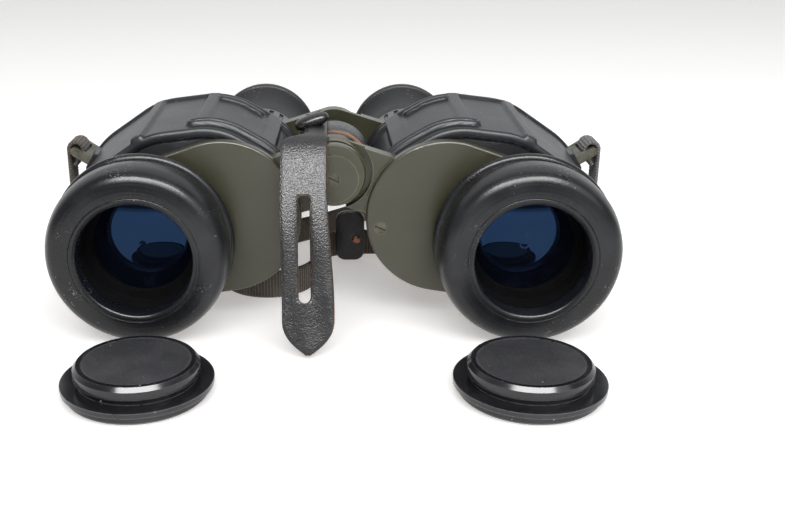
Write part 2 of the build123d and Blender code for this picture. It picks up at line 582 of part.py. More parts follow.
def leather_tab():
    """The strap with its button slot, and the loop that holds it round the hinge."""
    middle = tab_centreline()
    sides = ([], [])
    for i, (y, z) in enumerate(middle):
        before, after = middle[max(i - 1, 0)], middle[min(i + 1, len(middle) - 1)]
        dy, dz = after[0] - before[0], after[1] - before[1]
        length = math.hypot(dy, dz)
        for side, sign in zip(sides, (1, -1)):
            side.append((y + sign * dz / length * LEATHER / 2, z - sign * dy / length * LEATHER / 2))
    outline = (Spline(*sides[0]).edges() + Spline(*sides[1]).edges()
               + Line(sides[0][0], sides[1][0]).edges() + Line(sides[0][-1], sides[1][-1]).edges())
    band = extrude(Plane.YZ * make_face(outline), 3 * TAB_WIDTH, both=True)
    right = TAB_LEFT + TAB_WIDTH
    middle_x = (TAB_LEFT + right) / 2
    low = LEATHER / 2
    plan = Polyline((TAB_LEFT, HINGE_Z + 40), (right, HINGE_Z + 40), (right, HINGE_Z),
                    (right + TAB_WIDENING, TAB_TIP_LENGTH), (middle_x + 2.0, low - 1.0),
                    (middle_x - 2.0, low - 1.0), (TAB_LEFT - TAB_WIDENING, TAB_TIP_LENGTH),
                    (TAB_LEFT, HINGE_Z), close=True)
    tab = band & slab(make_face(plan.edges()), -60, 120)
    slot = SlotCenterToCenter(TAB_SLOT_HIGH - TAB_SLOT_LOW - TAB_SLOT_WIDTH, TAB_SLOT_WIDTH)
    tab -= slab(Pos(middle_x, (TAB_SLOT_LOW + TAB_SLOT_HIGH) / 2) * Rot(0, 0, 90) * slot, -60,
                FRONT_KNUCKLE_Y - CAP_THICKNESS)
    loop_inner = SPACER_RADIUS + LOOSE_GAP
    loop_rear = TAB_LOOP_Y + TAB_LOOP_WIDTH
    neck_x = (right - loop_inner) / 2 - 0.5
    top_z = middle[1][1]
    neck_low = HINGE_Z + 0.6 * loop_inner
    neck = slab(Pos(neck_x, (top_z + neck_low) / 2) * Rectangle(right - 2 * neck_x + right, top_z - neck_low),
                TAB_LOOP_Y, loop_rear - 5.0)
    loop = rod(0, HINGE_Z, loop_inner + LEATHER, TAB_LOOP_Y, loop_rear)
    return tab + ((loop + neck) - rod(0, HINGE_Z, loop_inner, TAB_LOOP_Y - 1, loop_rear + 1))


# ---------------------------------------------------------------- loose objective caps
def objective_cap():
    """Cap lying plug up: grip disc, flange, necked plug with a recessed inlay."""
    flange_z = CAP_DISC_HEIGHT + CAP_FLANGE_HEIGHT
    neck_z = flange_z + CAP_NECK_HEIGHT
    top_z = flange_z + CAP_PLUG_HEIGHT
    recess_z = top_z - CAP_INLAY_DEPTH
    neck_r = CAP_PLUG_RADIUS - CAP_NECK_DEPTH
    outline = Polyline((0, 0), (CAP_DISC_RADIUS - 0.8, 0), (CAP_DISC_RADIUS, 0.8),
                       (CAP_DISC_RADIUS, CAP_DISC_HEIGHT), (CAP_FLANGE_RADIUS, CAP_DISC_HEIGHT),
                       (CAP_FLANGE_RADIUS, flange_z), (neck_r, flange_z), (neck_r, neck_z),
                       (CAP_PLUG_RADIUS, neck_z + 0.5), (CAP_PLUG_RADIUS, top_z - 1.4),
                       (CAP_PLUG_RADIUS - 1.2, top_z), (CAP_INLAY_RADIUS, top_z),
                       (CAP_INLAY_RADIUS, recess_z), (0, recess_z), close=True)
    body = revolve(Plane.XZ * make_face(outline.edges()), Axis.Z)
    inlay = Pos(0, 0, recess_z) * extrude(Circle(CAP_INLAY_RADIUS - SEAT_GAP), CAP_INLAY_DEPTH * 0.8)
    return body, inlay


# ---------------------------------------------------------------- neck strap
STRAP_Z = STRAP_WIDTH / 2 + 0.2        # webbing standing on its edge

STRAP_ROUTE = [
    (-111.0, 80.0, 30.0), (-111.2, 86.0, 19.0), (-111.6, 98.0, 10.0), (-112.0, 116.0, STRAP_Z),
    (-109.8, 142.0, STRAP_Z), (-108.3, 170.0, STRAP_Z), (-108.1, 196.7, STRAP_Z),
    (-94.3, 210.5, STRAP_Z), (-74.9, 210.5, STRAP_Z), (-61.1, 196.7, STRAP_Z),
    (-60.3, 174.0, STRAP_Z), (-60.5, 148.6, STRAP_Z), (-48.7, 136.8, STRAP_Z),
    (-31.9, 136.8, STRAP_Z), (-20.1, 148.6, STRAP_Z), (-19.2, 172.0, STRAP_Z),
    (-19.0, 196.2, STRAP_Z), (-6.0, 209.2, STRAP_Z), (12.4, 209.2, STRAP_Z),
    (25.4, 196.2, STRAP_Z), (24.5, 174.0, STRAP_Z), (16.0, 153.0, STRAP_Z),
    (0.5, 135.0, STRAP_Z), (-18.0, 120.5, STRAP_Z), (-35.0, 105.5, STRAP_Z),
    (-46.4, 86.0, STRAP_Z), (-47.2, 62.2, STRAP_Z), (-35.9, 50.9, STRAP_Z),
    (-20.0, 50.9, STRAP_Z), (-8.8, 62.2, STRAP_Z), (-8.7, 77.0, STRAP_Z),
    (-9.0, 91.0, STRAP_Z), (-3.9, 99.8, STRAP_Z), (4.9, 104.9, STRAP_Z),
    (21.5, 105.1, STRAP_Z), (38.0, 107.5, STRAP_Z), (55.0, 114.0, STRAP_Z)]

STRAP_END_ROUTE = [
    (62.5, 116.4, STRAP_Z), (79.0, 119.0, STRAP_Z), (96.0, 115.5, 6.6), (107.0, 103.5, 10.0),
    (111.3, 88.5, 18.5), (111.0, 80.0, 30.0)]


def strap_tube(points):
    """A plain round tube along a route: straight runs joined by arcs as wide as the runs allow."""
    vectors = [Vector(*p) for p in points]
    radii = []
    for a, b, c in zip(vectors, vectors[1:], vectors[2:]):
        shorter = min((b - a).length, (c - b).length)
        turn = math.radians((b - a).get_angle(c - b))
        radii.append(0.45 * shorter / math.tan(turn / 2))
    path = FilletPolyline(*points, radius=radii)
    start = Plane(origin=path @ 0, z_dir=path % 0)
    return sweep(start * Circle(STRAP_TUBE_RADIUS), path=path)


def strap_fitting():
    """Leather end piece riveted to the webbing, standing behind the hinge."""
    low = STRAP_Z - STRAP_WIDTH / 2
    plate = slab(Pos(FITTING_X, low + FITTING_HEIGHT / 2)
                 * RectangleRounded(FITTING_WIDTH, FITTING_HEIGHT, FITTING_WIDTH / 3),
                 FITTING_Y - FITTING_THICKNESS, FITTING_Y)
    rivet_z = low + 0.43 * FITTING_HEIGHT
    rivet_x = FITTING_X + 0.22 * FITTING_WIDTH
    rivet = rod(rivet_x, rivet_z, RIVET_RADIUS, FITTING_Y - FITTING_THICKNESS - 0.9,
                FITTING_Y - FITTING_THICKNESS)
    return plate, chamfer(rivet.faces().sort_by(Axis.Y)[0].edges(), 0.5)


# ---------------------------------------------------------------- whole set
def build_all():
    nodes = {}
    half = build_half()
    loop, tail_end = strap_end_loop()
    for side in ("left", "right"):
        pieces = dict(half)
        pieces["front_arm"], pieces["rear_arm"] = arms_of(side, half)
        pieces["strap_end_loop"] = loop
        for name, solid in pieces.items():
            if side == "left":
                solid = mirror(solid, about=Plane.YZ)
            nodes[name + "_" + side] = solid
    reticle_y = BARREL_Y + 0.15 * BARREL_LENGTH
    nodes["reticle_glass"] = rod(EYE_X, EYE_Z, BARREL_RADIUS - BARREL_WALL - SEAT_GAP / 2,
                                 reticle_y, reticle_y + 1.5)
    nodes.update(hinge_pieces())
    nodes["leather_tab"] = leather_tab()
    cap, inlay = objective_cap()
    for side, sign in (("left", -1), ("right", 1)):
        nodes["objective_cap_" + side] = Pos(sign * CAP_X, CAP_Y, 0) * cap
        nodes["cap_inlay_" + side] = Pos(sign * CAP_X, CAP_Y, 0) * inlay
    x, y, z = tail_end
    nodes["neck_strap"] = strap_tube([(-x, y, z)] + STRAP_ROUTE)
    nodes["neck_strap_end"] = strap_tube(STRAP_END_ROUTE + [(x, y, z)])
    nodes["strap_fitting"], nodes["strap_rivet"] = strap_fitting()
    return nodes


os.makedirs("parts", exist_ok=True)
for name, solid in build_all().items():
    export_step(Pos(0, -MIDDLE_Y, 0) * solid, "parts/" + name + ".step")
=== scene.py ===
"""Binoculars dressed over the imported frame: rubber, paint, glass, leather and webbing."""
import logging
import math
from dataclasses import dataclass
from enum import Enum
from typing import Callable, Optional, Sequence, Union

import bmesh
import bpy
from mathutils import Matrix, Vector


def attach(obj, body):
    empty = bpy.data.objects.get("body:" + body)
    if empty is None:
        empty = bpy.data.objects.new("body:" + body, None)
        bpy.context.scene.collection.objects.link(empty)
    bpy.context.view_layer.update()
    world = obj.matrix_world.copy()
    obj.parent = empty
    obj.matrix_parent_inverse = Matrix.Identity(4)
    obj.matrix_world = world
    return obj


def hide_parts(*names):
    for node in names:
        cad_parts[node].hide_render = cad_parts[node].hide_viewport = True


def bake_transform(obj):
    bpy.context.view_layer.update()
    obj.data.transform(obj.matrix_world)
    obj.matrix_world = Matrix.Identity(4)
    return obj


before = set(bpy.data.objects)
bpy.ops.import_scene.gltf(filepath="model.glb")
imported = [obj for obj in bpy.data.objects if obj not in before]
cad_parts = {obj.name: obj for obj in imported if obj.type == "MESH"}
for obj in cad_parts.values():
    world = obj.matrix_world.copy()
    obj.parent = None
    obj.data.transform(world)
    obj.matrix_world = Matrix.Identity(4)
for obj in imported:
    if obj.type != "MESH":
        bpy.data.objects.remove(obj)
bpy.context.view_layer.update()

LOG = logging.getLogger("binoculars")
MM = 0.001
Point = tuple[float, float, float]
Colour = tuple[float, float, float]
# what a node's input takes: an output to join to it, or a plain value
Signal = Union[bpy.types.NodeSocket, float, bool, str, tuple]


# ------------------------------------------------------------------ layout
class Side(Enum):
    """Which half of the binoculars, seen from the objectives."""

    LEFT = -1
    RIGHT = 1

    @property
    def word(self) -> str:
        """Ending that names this side's nodes."""
        return self.name.lower()

    @property
    def body(self) -> str:
        """Body that carries this side's fixed pieces."""
        return self.word + "_half"

    @property
    def eyepiece(self) -> str:
        """Body of this side's sliding eyepiece."""
        return "eyepiece_" + self.word + "_slide"


@dataclass(frozen=True)
class Layout:
    """Main places in millimetres, Y measured from the objective mouths."""

    middle_y: float = 45.1
    objective_x: float = 73.0
    objective_z: float = 35.0
    eye_x: float = 33.0
    eye_z: float = 48.5
    hinge_z: float = 60.4
    rear_cover_y: float = 90.0
    housing_length: float = 57.5
    housing_taper: float = 3.5
    armour_y: float = 34.0
    armour_end_y: float = 84.0
    lug_y: float = 79.0
    lug_angle: float = 33.0
    lug_reach: float = 43.0

    def row(self, x: float, y: float, z: float) -> Point:
        """A layout point in millimetres as a row-frame point in metres."""
        return (x * MM, (y - self.middle_y) * MM, z * MM)

    def taper(self, y: float) -> float:
        """How much smaller the housing's rounds are at this Y."""
        return -self.housing_taper * (self.rear_cover_y - y) / self.housing_length


LAYOUT = Layout()


# ------------------------------------------------------------------ mesh helpers
def smooth_line(points: Sequence[tuple[float, ...]], steps: int) -> list[tuple[float, ...]]:
    """Run a smooth curve through points.

    Args:
        points: Points of any dimension, two or more.
        steps: Pieces between one point and the next.

    Returns:
        The points of the curve, its two ends included.
    """
    padded = [points[0], *points, points[-1]]
    line = []
    for before, start, end, after in zip(padded, padded[1:], padded[2:], padded[3:]):
        for i in range(steps):
            t = i / steps
            line.append(tuple(
                0.5 * (2 * b + (c - a) * t + (2 * a - 5 * b + 4 * c - d) * t ** 2
                       + (3 * b - a - 3 * c + d) * t ** 3)
                for a, b, c, d in zip(before, start, end, after)))
    return line + [tuple(points[-1])]


def smooth_step(value: float, low: float, high: float) -> float:
    """Rise smoothly from 0 at low to 1 at high.

    Args:
        value: Where to look.
        low: Where the rise starts.
        high: Where it ends.

    Returns:
        The share, from 0 to 1.
    """
    t = min(max((value - low) / (high - low), 0.0), 1.0)
    return t * t * (3 - 2 * t)


def path_distance(x: float, y: float, path: Sequence[tuple[float, float]]) -> float:
    """Distance in a plane from a point to a line of straight runs.

    Args:
        x: First coordinate of the point.
        y: Second coordinate of the point.
        path: Corners of the line, in the same plane.

    Returns:
        The shortest distance.
    """
    best = math.inf
    for (ax, ay), (bx, by) in zip(path, path[1:]):
        dx, dy = bx - ax, by - ay
        t = min(max(((x - ax) * dx + (y - ay) * dy) / (dx * dx + dy * dy), 0.0), 1.0)
        best = min(best, math.hypot(x - ax - t * dx, y - ay - t * dy))
    return best


def left_turn(a: Sequence[float], b: Sequence[float], c: Sequence[float]) -> float:
    """How far a, b, c turn left in their plane; 0 or less where they don't."""
    return (b[0] - a[0]) * (c[1] - a[1]) - (b[1] - a[1]) * (c[0] - a[0])


def make_piece(name: str, points: Sequence[Point], faces: Sequence[Sequence[int]],
               smooth: bool = True, slots: Sequence[int] = ()) -> bpy.types.Object:
    """Make a closed, outward-facing mesh object from plain lists.

    Args:
        name: Name of the piece.
        points: Corners in metres in the row frame.
        faces: Corner numbers of each face.
        smooth: Whether its faces are shaded smooth.
        slots: Material number of each face, all 0 where empty.

    Returns:
        The new object, linked to the scene.
    """
    mesh = bpy.data.meshes.new(name)
    mesh.from_pydata([tuple(p) for p in points], [], [tuple(f) for f in faces])
    for face, number in zip(mesh.polygons, slots):
        face.material_index = number
    shape = bmesh.new()
    shape.from_mesh(mesh)
    bmesh.ops.remove_doubles(shape, verts=shape.verts, dist=1e-6)
    bmesh.ops.dissolve_degenerate(shape, edges=shape.edges, dist=1e-7)
    bmesh.ops.recalc_face_normals(shape, faces=shape.faces)
    for face in shape.faces:
        face.smooth = smooth
    shape.to_mesh(mesh)
    shape.free()
    piece = bpy.data.objects.new(name, mesh)
    bpy.context.scene.collection.objects.link(piece)
    return piece


def lathe(name: str, profile: Sequence[tuple[float, float]], centre: tuple[float, float],
          segments: int = 128, ripple: Optional[Callable[[float, float], float]] = None
          ) -> bpy.types.Object:
    """Turn a closed profile about an axis along Y.

    Args:
        name: Name of the piece.
        profile: Closed outline of (radius, y) in millimetres.
        centre: X and Z of the axis in millimetres.
        segments: Steps round the axis.
        ripple: Extra radius in millimetres at (angle, y), if any.

    Returns:
        The turned piece.
    """
    points, faces = [], []
    count = len(profile)
    for i in range(segments):
        angle = 2 * math.pi * i / segments
        for radius, y in profile:
            r = radius + (ripple(angle, y) if ripple and radius > 1e-6 else 0.0)
            points.append(LAYOUT.row(centre[0] + r * math.cos(angle), y,
                                     centre[1] + r * math.sin(angle)))
    for i in range(segments):
        a, b = i * count, ((i + 1) % segments) * count
        for j in range(count):
            k = (j + 1) % count
            faces.append((a + j, a + k, b + k, b + j))
    return make_piece(name, points, faces)


def closed_sheet(name: str, rows: Sequence[Sequence[tuple[Point, Point]]],
                 smooth: bool = True) -> bpy.types.Object:
    """Close a grid of (outer, inner) point pairs into one solid skin.

    Args:
        name: Name of the piece.
        rows: Rows of pairs in metres; every row has as many pairs.
        smooth: Whether its faces are shaded smooth.

    Returns:
        The skin.
    """
    across = len(rows[0])
    points = [pair[0] for row in rows for pair in row] + [pair[1] for row in rows for pair in row]
    inner = len(rows) * across
    faces = []
    for i in range(len(rows) - 1):
        for j in range(across - 1):
            a, b = i * across + j, (i + 1) * across + j
            faces.append((a, a + 1, b + 1, b))
            faces.append((inner + a, inner + b, inner + b + 1, inner + a + 1))
    rim = list(range(across))
    rim += [i * across + across - 1 for i in range(1, len(rows))]
    rim += [(len(rows) - 1) * across + j for j in range(across - 2, -1, -1)]
    rim += [i * across for i in range(len(rows) - 2, 0, -1)]
    for a, b in zip(rim, rim[1:] + rim[:1]):
        faces.append((a, b, inner + b, inner + a))
    return make_piece(name, points, faces, smooth)


def settle(piece: bpy.types.Object, material: bpy.types.Material, body: Optional[str],
           stands_for: Sequence[str] = ()) -> bpy.types.Object:
    """Give a piece its finish, its body and the nodes that it stands for.

    Args:
        piece: The finished mesh object.
        material: Its finish, unless it already has materials of its own.
        body: Body that carries it, or None where it lies between two.
        stands_for: CAD nodes that it replaces.

    Returns:
        The same piece.
    """
    if not piece.data.materials:
        piece.data.materials.append(material)
    if body:
        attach(piece, body)
    if stands_for:
        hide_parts(*stands_for)
    LOG.info("%s: %d faces on %s", piece.name, len(piece.data.polygons), body or "two bodies")
    return piece


def bake_modifiers(piece: bpy.types.Object) -> bpy.types.Object:
    """Turn a piece's modifiers into plain mesh and take them off.

    Args:
        piece: A mesh or curve object with modifiers.

    Returns:
        The piece, or the mesh object that takes a curve's place and name.
    """
    bpy.context.view_layer.update()
    depsgraph = bpy.context.evaluated_depsgraph_get()
    mesh = bpy.data.meshes.new_from_object(piece.evaluated_get(depsgraph), depsgraph=depsgraph)
    piece.modifiers.clear()
    if piece.type == "CURVE":
        made = bpy.data.objects.new(piece.name + "_mesh", mesh)
        bpy.context.scene.collection.objects.link(made)
        name = piece.name
        bpy.data.objects.remove(piece)
        made.name = name
        return made
    piece.data = mesh
    return piece


# ------------------------------------------------------------------ shader helpers
class Wiring:
    """Short hand for placing and joining nodes in one tree."""

    def __init__(self, tree: bpy.types.NodeTree) -> None:
        """Keep the tree that the nodes go into."""
        self.tree = tree

    def node(self, kind: str, settings: Optional[dict] = None,
             **inputs: Signal) -> bpy.types.Node:
        """Add a node.

        Args:
            kind: Blender's node type.
            settings: Node properties to set.
            inputs: Input sockets by name, with "_" for a space: a value or an output.

        Returns:
            The node.
        """
        made = self.tree.nodes.new(kind)
        for key, value in (settings or {}).items():
            setattr(made, key, value)
        for key, value in inputs.items():
            self.feed(made.inputs[key.replace("_", " ")], value)
        return made

    def feed(self, socket: bpy.types.NodeSocket, value: Signal) -> None:
        """Give an input socket a value, or join an output to it."""
        if isinstance(value, bpy.types.NodeSocket):
            self.tree.links.new(value, socket)
        else:
            socket.default_value = value

    def math(self, operation: str, *values: Signal, clamp: bool = False) -> bpy.types.NodeSocket:
        """One arithmetic step on numbers."""
        made = self.node("ShaderNodeMath", {"operation": operation, "use_clamp": clamp})
        for socket, value in zip(made.inputs, values):
            self.feed(socket, value)
        return made.outputs[0]

    def ramp(self, value: Signal, low: float, high: float) -> bpy.types.NodeSocket:
        """Rise smoothly from 0 at low to 1 at high."""
        made = self.node("ShaderNodeMapRange", {"interpolation_type": "SMOOTHSTEP"},
                         Value=value, From_Min=low, From_Max=high)
        return made.outputs["Result"]

    def span(self, value: Signal, low: float, high: float) -> bpy.types.NodeSocket:
        """Stretch 0 to 1 into low to high."""
        made = self.node("ShaderNodeMapRange", None, Value=value, To_Min=low, To_Max=high)
        return made.outputs["Result"]

    def blend(self, share: Signal, first: Signal, second: Signal) -> bpy.types.NodeSocket:
        """Mix two colours."""
        made = self.node("ShaderNodeMix", {"data_type": "RGBA"})
        self.feed(made.inputs[0], share)
        self.feed(made.inputs[6], (*first, 1.0) if isinstance(first, tuple) else first)
        self.feed(made.inputs[7], (*second, 1.0) if isinstance(second, tuple) else second)
        return made.outputs[2]

    def noise(self, where: Signal, scale: float, detail: float = 3.0,
              roughness: float = 0.55) -> bpy.types.NodeSocket:
        """Value of a noise at a place."""
        made = self.node("ShaderNodeTexNoise", None, Vector=where, Scale=scale, Detail=detail,
                         Roughness=roughness)
        return made.outputs["Fac"]

    def object_place(self) -> bpy.types.NodeSocket:
        """Place on the object, in metres."""
        return self.node("ShaderNodeTexCoord").outputs["Object"]


class Effects:
    """Shader groups that several finishes share, each built once."""

    def __init__(self) -> None:
        """Start with none built."""
        self.built: dict[str, bpy.types.NodeTree] = {}

    def _start(self, name: str, inputs: Sequence[tuple[str, float]],
               outputs: Sequence[str]) -> tuple[Wiring, dict, bpy.types.Node]:
        """Open a new group with float inputs and outputs.

        Args:
            name: Name of the group.
            inputs: Name and first value of each input.
            outputs: Name of each output.

        Returns:
            The group's wiring, its inputs by name and its output node.
        """
        tree = bpy.data.node_groups.new(name, "ShaderNodeTree")
        for label, value in inputs:
            socket = tree.interface.new_socket(label, in_out="INPUT", socket_type="NodeSocketFloat")
            socket.default_value = value
        for label in outputs:
            tree.interface.new_socket(label, in_out="OUTPUT", socket_type="NodeSocketFloat")
        self.built[name] = tree
        entry = tree.nodes.new("NodeGroupInput")
        leave = tree.nodes.new("NodeGroupOutput")
        return Wiring(tree), entry.outputs, leave

    def worn_edges(self) -> bpy.types.NodeTree:
        """Mask of outer edges, broken up as wear is."""
        if "worn_edges" in self.built:
            return self.built["worn_edges"]
        wires, given, leave = self._start(
            "worn_edges", [("Width", 0.0008), ("Break Up", 500.0), ("Amount", 0.5)], ["Mask"])
        rounded = wires.node("ShaderNodeBevel", {"samples": 6}, Radius=given["Width"])
        plain = wires.node("ShaderNodeNewGeometry").outputs["True Normal"]
        turn = wires.node("ShaderNodeVectorMath", {"operation": "DOT_PRODUCT"})
        wires.feed(turn.inputs[0], rounded.outputs[0])
        wires.feed(turn.inputs[1], plain)
        edge = wires.ramp(wires.math("SUBTRACT", 1.0, turn.outputs["Value"]), 0.03, 0.22)
        where = wires.object_place()
        patch = wires.noise(where, 1.0, 4.0, 0.65)
        wires.feed(patch.node.inputs["Scale"], given["Break Up"])
        low = wires.math("SUBTRACT", 0.72, wires.math("MULTIPLY", given["Amount"], 0.45))
        broken = wires.node("ShaderNodeMapRange", None, Value=patch)
        wires.feed(broken.inputs["From Min"], low)
        wires.feed(broken.inputs["From Max"], wires.math("ADD", low, 0.12))
        wires.feed(leave.inputs["Mask"], wires.math("MULTIPLY", edge, broken.outputs["Result"]))
        return wires.tree

    def specks(self) -> bpy.types.NodeTree:
        """Mask of small scattered dust specks and nicks."""
        if "specks" in self.built:
            return self.built["specks"]
        wires, given, leave = self._start(
            "specks", [("Scale", 260.0), ("Size", 0.12), ("Share", 0.1)], ["Mask"])
        where = wires.object_place()
        cells = wires.node("ShaderNodeTexVoronoi", {"feature": "F1"}, Vector=where)
        wires.feed(cells.inputs["Scale"], given["Scale"])
        chance = wires.node("ShaderNodeSeparateColor", None, Color=cells.outputs["Color"])
        chosen = wires.math("LESS_THAN", chance.outputs[0], given["Share"])
        size = wires.math("MULTIPLY", given["Size"], wires.span(chance.outputs[1], 0.4, 1.6))
        near = wires.math("SUBTRACT", 1.0, wires.math("DIVIDE", cells.outputs["Distance"], size),
                          clamp=True)
        wires.feed(leave.inputs["Mask"],
                   wires.math("MULTIPLY", chosen, wires.ramp(near, 0.0, 0.35)))
        return wires.tree

    def scratches(self) -> bpy.types.NodeTree:
        """Mask of thin, sparse, wandering scratches."""
        if "scratches" in self.built:
            return self.built["scratches"]
        wires, given, leave = self._start(
            "scratches", [("Scale", 22.0), ("Thin", 0.006), ("Share", 0.5)], ["Mask"])
        where = wires.object_place()
        stretched = wires.node("ShaderNodeMapping", None, Vector=where)
        stretched.inputs["Scale"].default_value = (1.0, 3.2, 0.6)
        stretched.inputs["Rotation"].default_value = (0.5, 0.3, 0.9)
        line = wires.noise(stretched.outputs[0], 1.0, 1.5, 0.4)
        wires.feed(line.node.inputs["Scale"], given["Scale"])
        off = wires.math("ABSOLUTE", wires.math("SUBTRACT", line, 0.5))
        thin = wires.math("LESS_THAN", off, given["Thin"])
        patch = wires.noise(where, 47.0, 3.0, 0.7)
        shown = wires.math("GREATER_THAN", patch, wires.math("SUBTRACT", 0.75, wires.math(
            "MULTIPLY", given["Share"], 0.3)))
        wires.feed(leave.inputs["Mask"], wires.math("MULTIPLY", thin, shown))
        return wires.tree

    def pebbles(self) -> bpy.types.NodeTree:
        """Height of pebbled grain, such as embossed leather has."""
        if "pebbles" in self.built:
            return self.built["pebbles"]
        wires, given, leave = self._start("pebbles", [("Scale", 1100.0), ("Fine", 0.3)], ["Height"])
        where = wires.object_place()
        wander = wires.node("ShaderNodeTexNoise", None, Vector=where, Scale=400.0, Detail=2.0)
        moved = wires.node("ShaderNodeVectorMath", {"operation": "MULTIPLY_ADD"})
        wires.feed(moved.inputs[0], wander.outputs["Color"])
        moved.inputs[1].default_value = (0.0012, 0.0012, 0.0012)
        wires.feed(moved.inputs[2], where)
        cells = wires.node("ShaderNodeTexVoronoi", {"feature": "SMOOTH_F1"},
                           Vector=moved.outputs[0], Smoothness=0.5)
        wires.feed(cells.inputs["Scale"], given["Scale"])
        dome = wires.math("SUBTRACT", 1.0, cells.outputs["Distance"])
        fine = wires.math("MULTIPLY", wires.noise(where, 3200.0, 2.0), given["Fine"])
        wires.feed(leave.inputs["Height"], wires.math("ADD", dome, fine))
        return wires.tree

    def rings(self) -> bpy.types.NodeTree:
        """Height of fine turning marks round an axis along Y."""
        if "rings" in self.built:
            return self.built["rings"]
        wires, given, leave = self._start(
            "rings", [("Centre X", 0.0), ("Centre Z", 0.0), ("Pitch", 0.0006)], ["Height"])
        part = wires.node("ShaderNodeSeparateXYZ", None, Vector=wires.object_place())
        dx = wires.math("SUBTRACT", part.outputs[0], given["Centre X"])
        dz = wires.math("SUBTRACT", part.outputs[2], given["Centre Z"])
        radius = wires.math("SQRT", wires.math("ADD", wires.math("MULTIPLY", dx, dx),
                                               wires.math("MULTIPLY", dz, dz)))
        line = wires.node("ShaderNodeCombineXYZ", None, X=radius, Y=part.outputs[1])
        mark = wires.node("ShaderNodeTexNoise", None, Vector=line.outputs[0], Detail=2.0)
        wires.feed(mark.inputs["Scale"], wires.math("DIVIDE", 1.0, given["Pitch"]))
        wires.feed(leave.inputs["Height"], mark.outputs["Fac"])
        return wires.tree


EFFECTS = Effects()


def use_group(wires: Wiring, tree: bpy.types.NodeTree, **inputs: Signal) -> bpy.types.Node:
    """Place a shader group and set its inputs.

    Args:
        wires: Wiring of the material that the group goes into.
        tree: The group.
        inputs: Its inputs by name, with "_" for a space.

    Returns:
        The group's node.
    """
    made = wires.tree.nodes.new("ShaderNodeGroup")
    made.node_tree = tree
    for key, value in inputs.items():
        wires.feed(made.inputs[key.replace("_", " ")], value)
    return made


# ------------------------------------------------------------------ finishes
@dataclass(frozen=True)
class Finish:
    """Base of every finish: a name and the plain numbers of its shader."""

    name: str

    def _open(self, **plain: Signal) -> tuple[bpy.types.Material, Wiring, bpy.types.Node]:
        """Start a material and set its shader's plain values.

        Args:
            plain: Values of the shader's own sockets, with "_" for a space.

        Returns:
            The material, its wiring and its shader.
        """
        material = bpy.data.materials.new(self.name)
        material.use_nodes = True
        wires = Wiring(material.node_tree)
        shader = material.node_tree.nodes["Principled BSDF"]
        for key, value in plain.items():
            shader.inputs[key.replace("_", " ")].default_value = value
        return material, wires, shader


@dataclass(frozen=True)
class RubberFinish(Finish):
    """Moulded rubber: dark, cloudy, with dust specks, nicks and pale rubbed edges."""

    colour: Colour = (0.011, 0.0115, 0.013)
    dusty: Colour = (0.034, 0.036, 0.040)
    roughness: float = 0.30
    speck_share: float = 0.10
    nick_share: float = 0.35
    grain: float = 0.00002
    ring_centre: Optional[tuple[float, float]] = None

    def make(self) -> bpy.types.Material:
        """Build the material."""
        material, wires, shader = self._open(Specular_IOR_Level=0.36)
        where = wires.object_place()
        cloud = wires.noise(where, 38.0, 4.0, 0.6)
        fine = wires.noise(where, 900.0, 3.0, 0.6)
        haze = wires.math("MULTIPLY", wires.ramp(cloud, 0.42, 0.78), 0.5)
        base = wires.blend(haze, self.colour, self.dusty)
        specks = use_group(wires, EFFECTS.specks(), Scale=420.0, Size=0.12, Share=self.speck_share)
        nicks = use_group(wires, EFFECTS.specks(), Scale=1500.0, Size=0.3, Share=self.nick_share)
        rubbed = wires.ramp(wires.noise(where, 64.0, 3.0, 0.6), 0.56, 0.70)
        edges = use_group(wires, EFFECTS.worn_edges(), Width=0.0012, Break_Up=420.0, Amount=0.45)
        base = wires.blend(wires.math("MULTIPLY", edges.outputs[0], 0.35), base,
                           (0.13, 0.135, 0.14))
        marks = wires.math("MAXIMUM", wires.math("MULTIPLY", specks.outputs[0], 0.7),
                           wires.math("MULTIPLY", nicks.outputs[0], rubbed))
        base = wires.blend(wires.math("MULTIPLY", marks, 0.45), base, (0.42, 0.42, 0.41))
        wires.feed(shader.inputs["Base Color"], base)
        rough = wires.math("ADD", wires.span(cloud, self.roughness - 0.09, self.roughness + 0.13),
                           wires.math("MULTIPLY", fine, 0.08))
        wires.feed(shader.inputs["Roughness"], rough)
        height = wires.math("ADD", fine, wires.math("MULTIPLY", cloud, 2.0))
        if self.ring_centre:
            turning = use_group(wires, EFFECTS.rings(), Centre_X=self.ring_centre[0],
                                Centre_Z=self.ring_centre[1], Pitch=0.0009)
            height = wires.math("ADD", height, wires.math("MULTIPLY", turning.outputs[0], 1.6))
        bump = wires.node("ShaderNodeBump", None, Height=height, Strength=1.0,
                          Distance=self.grain)
        wires.feed(shader.inputs["Normal"], bump.outputs[0])
        return material


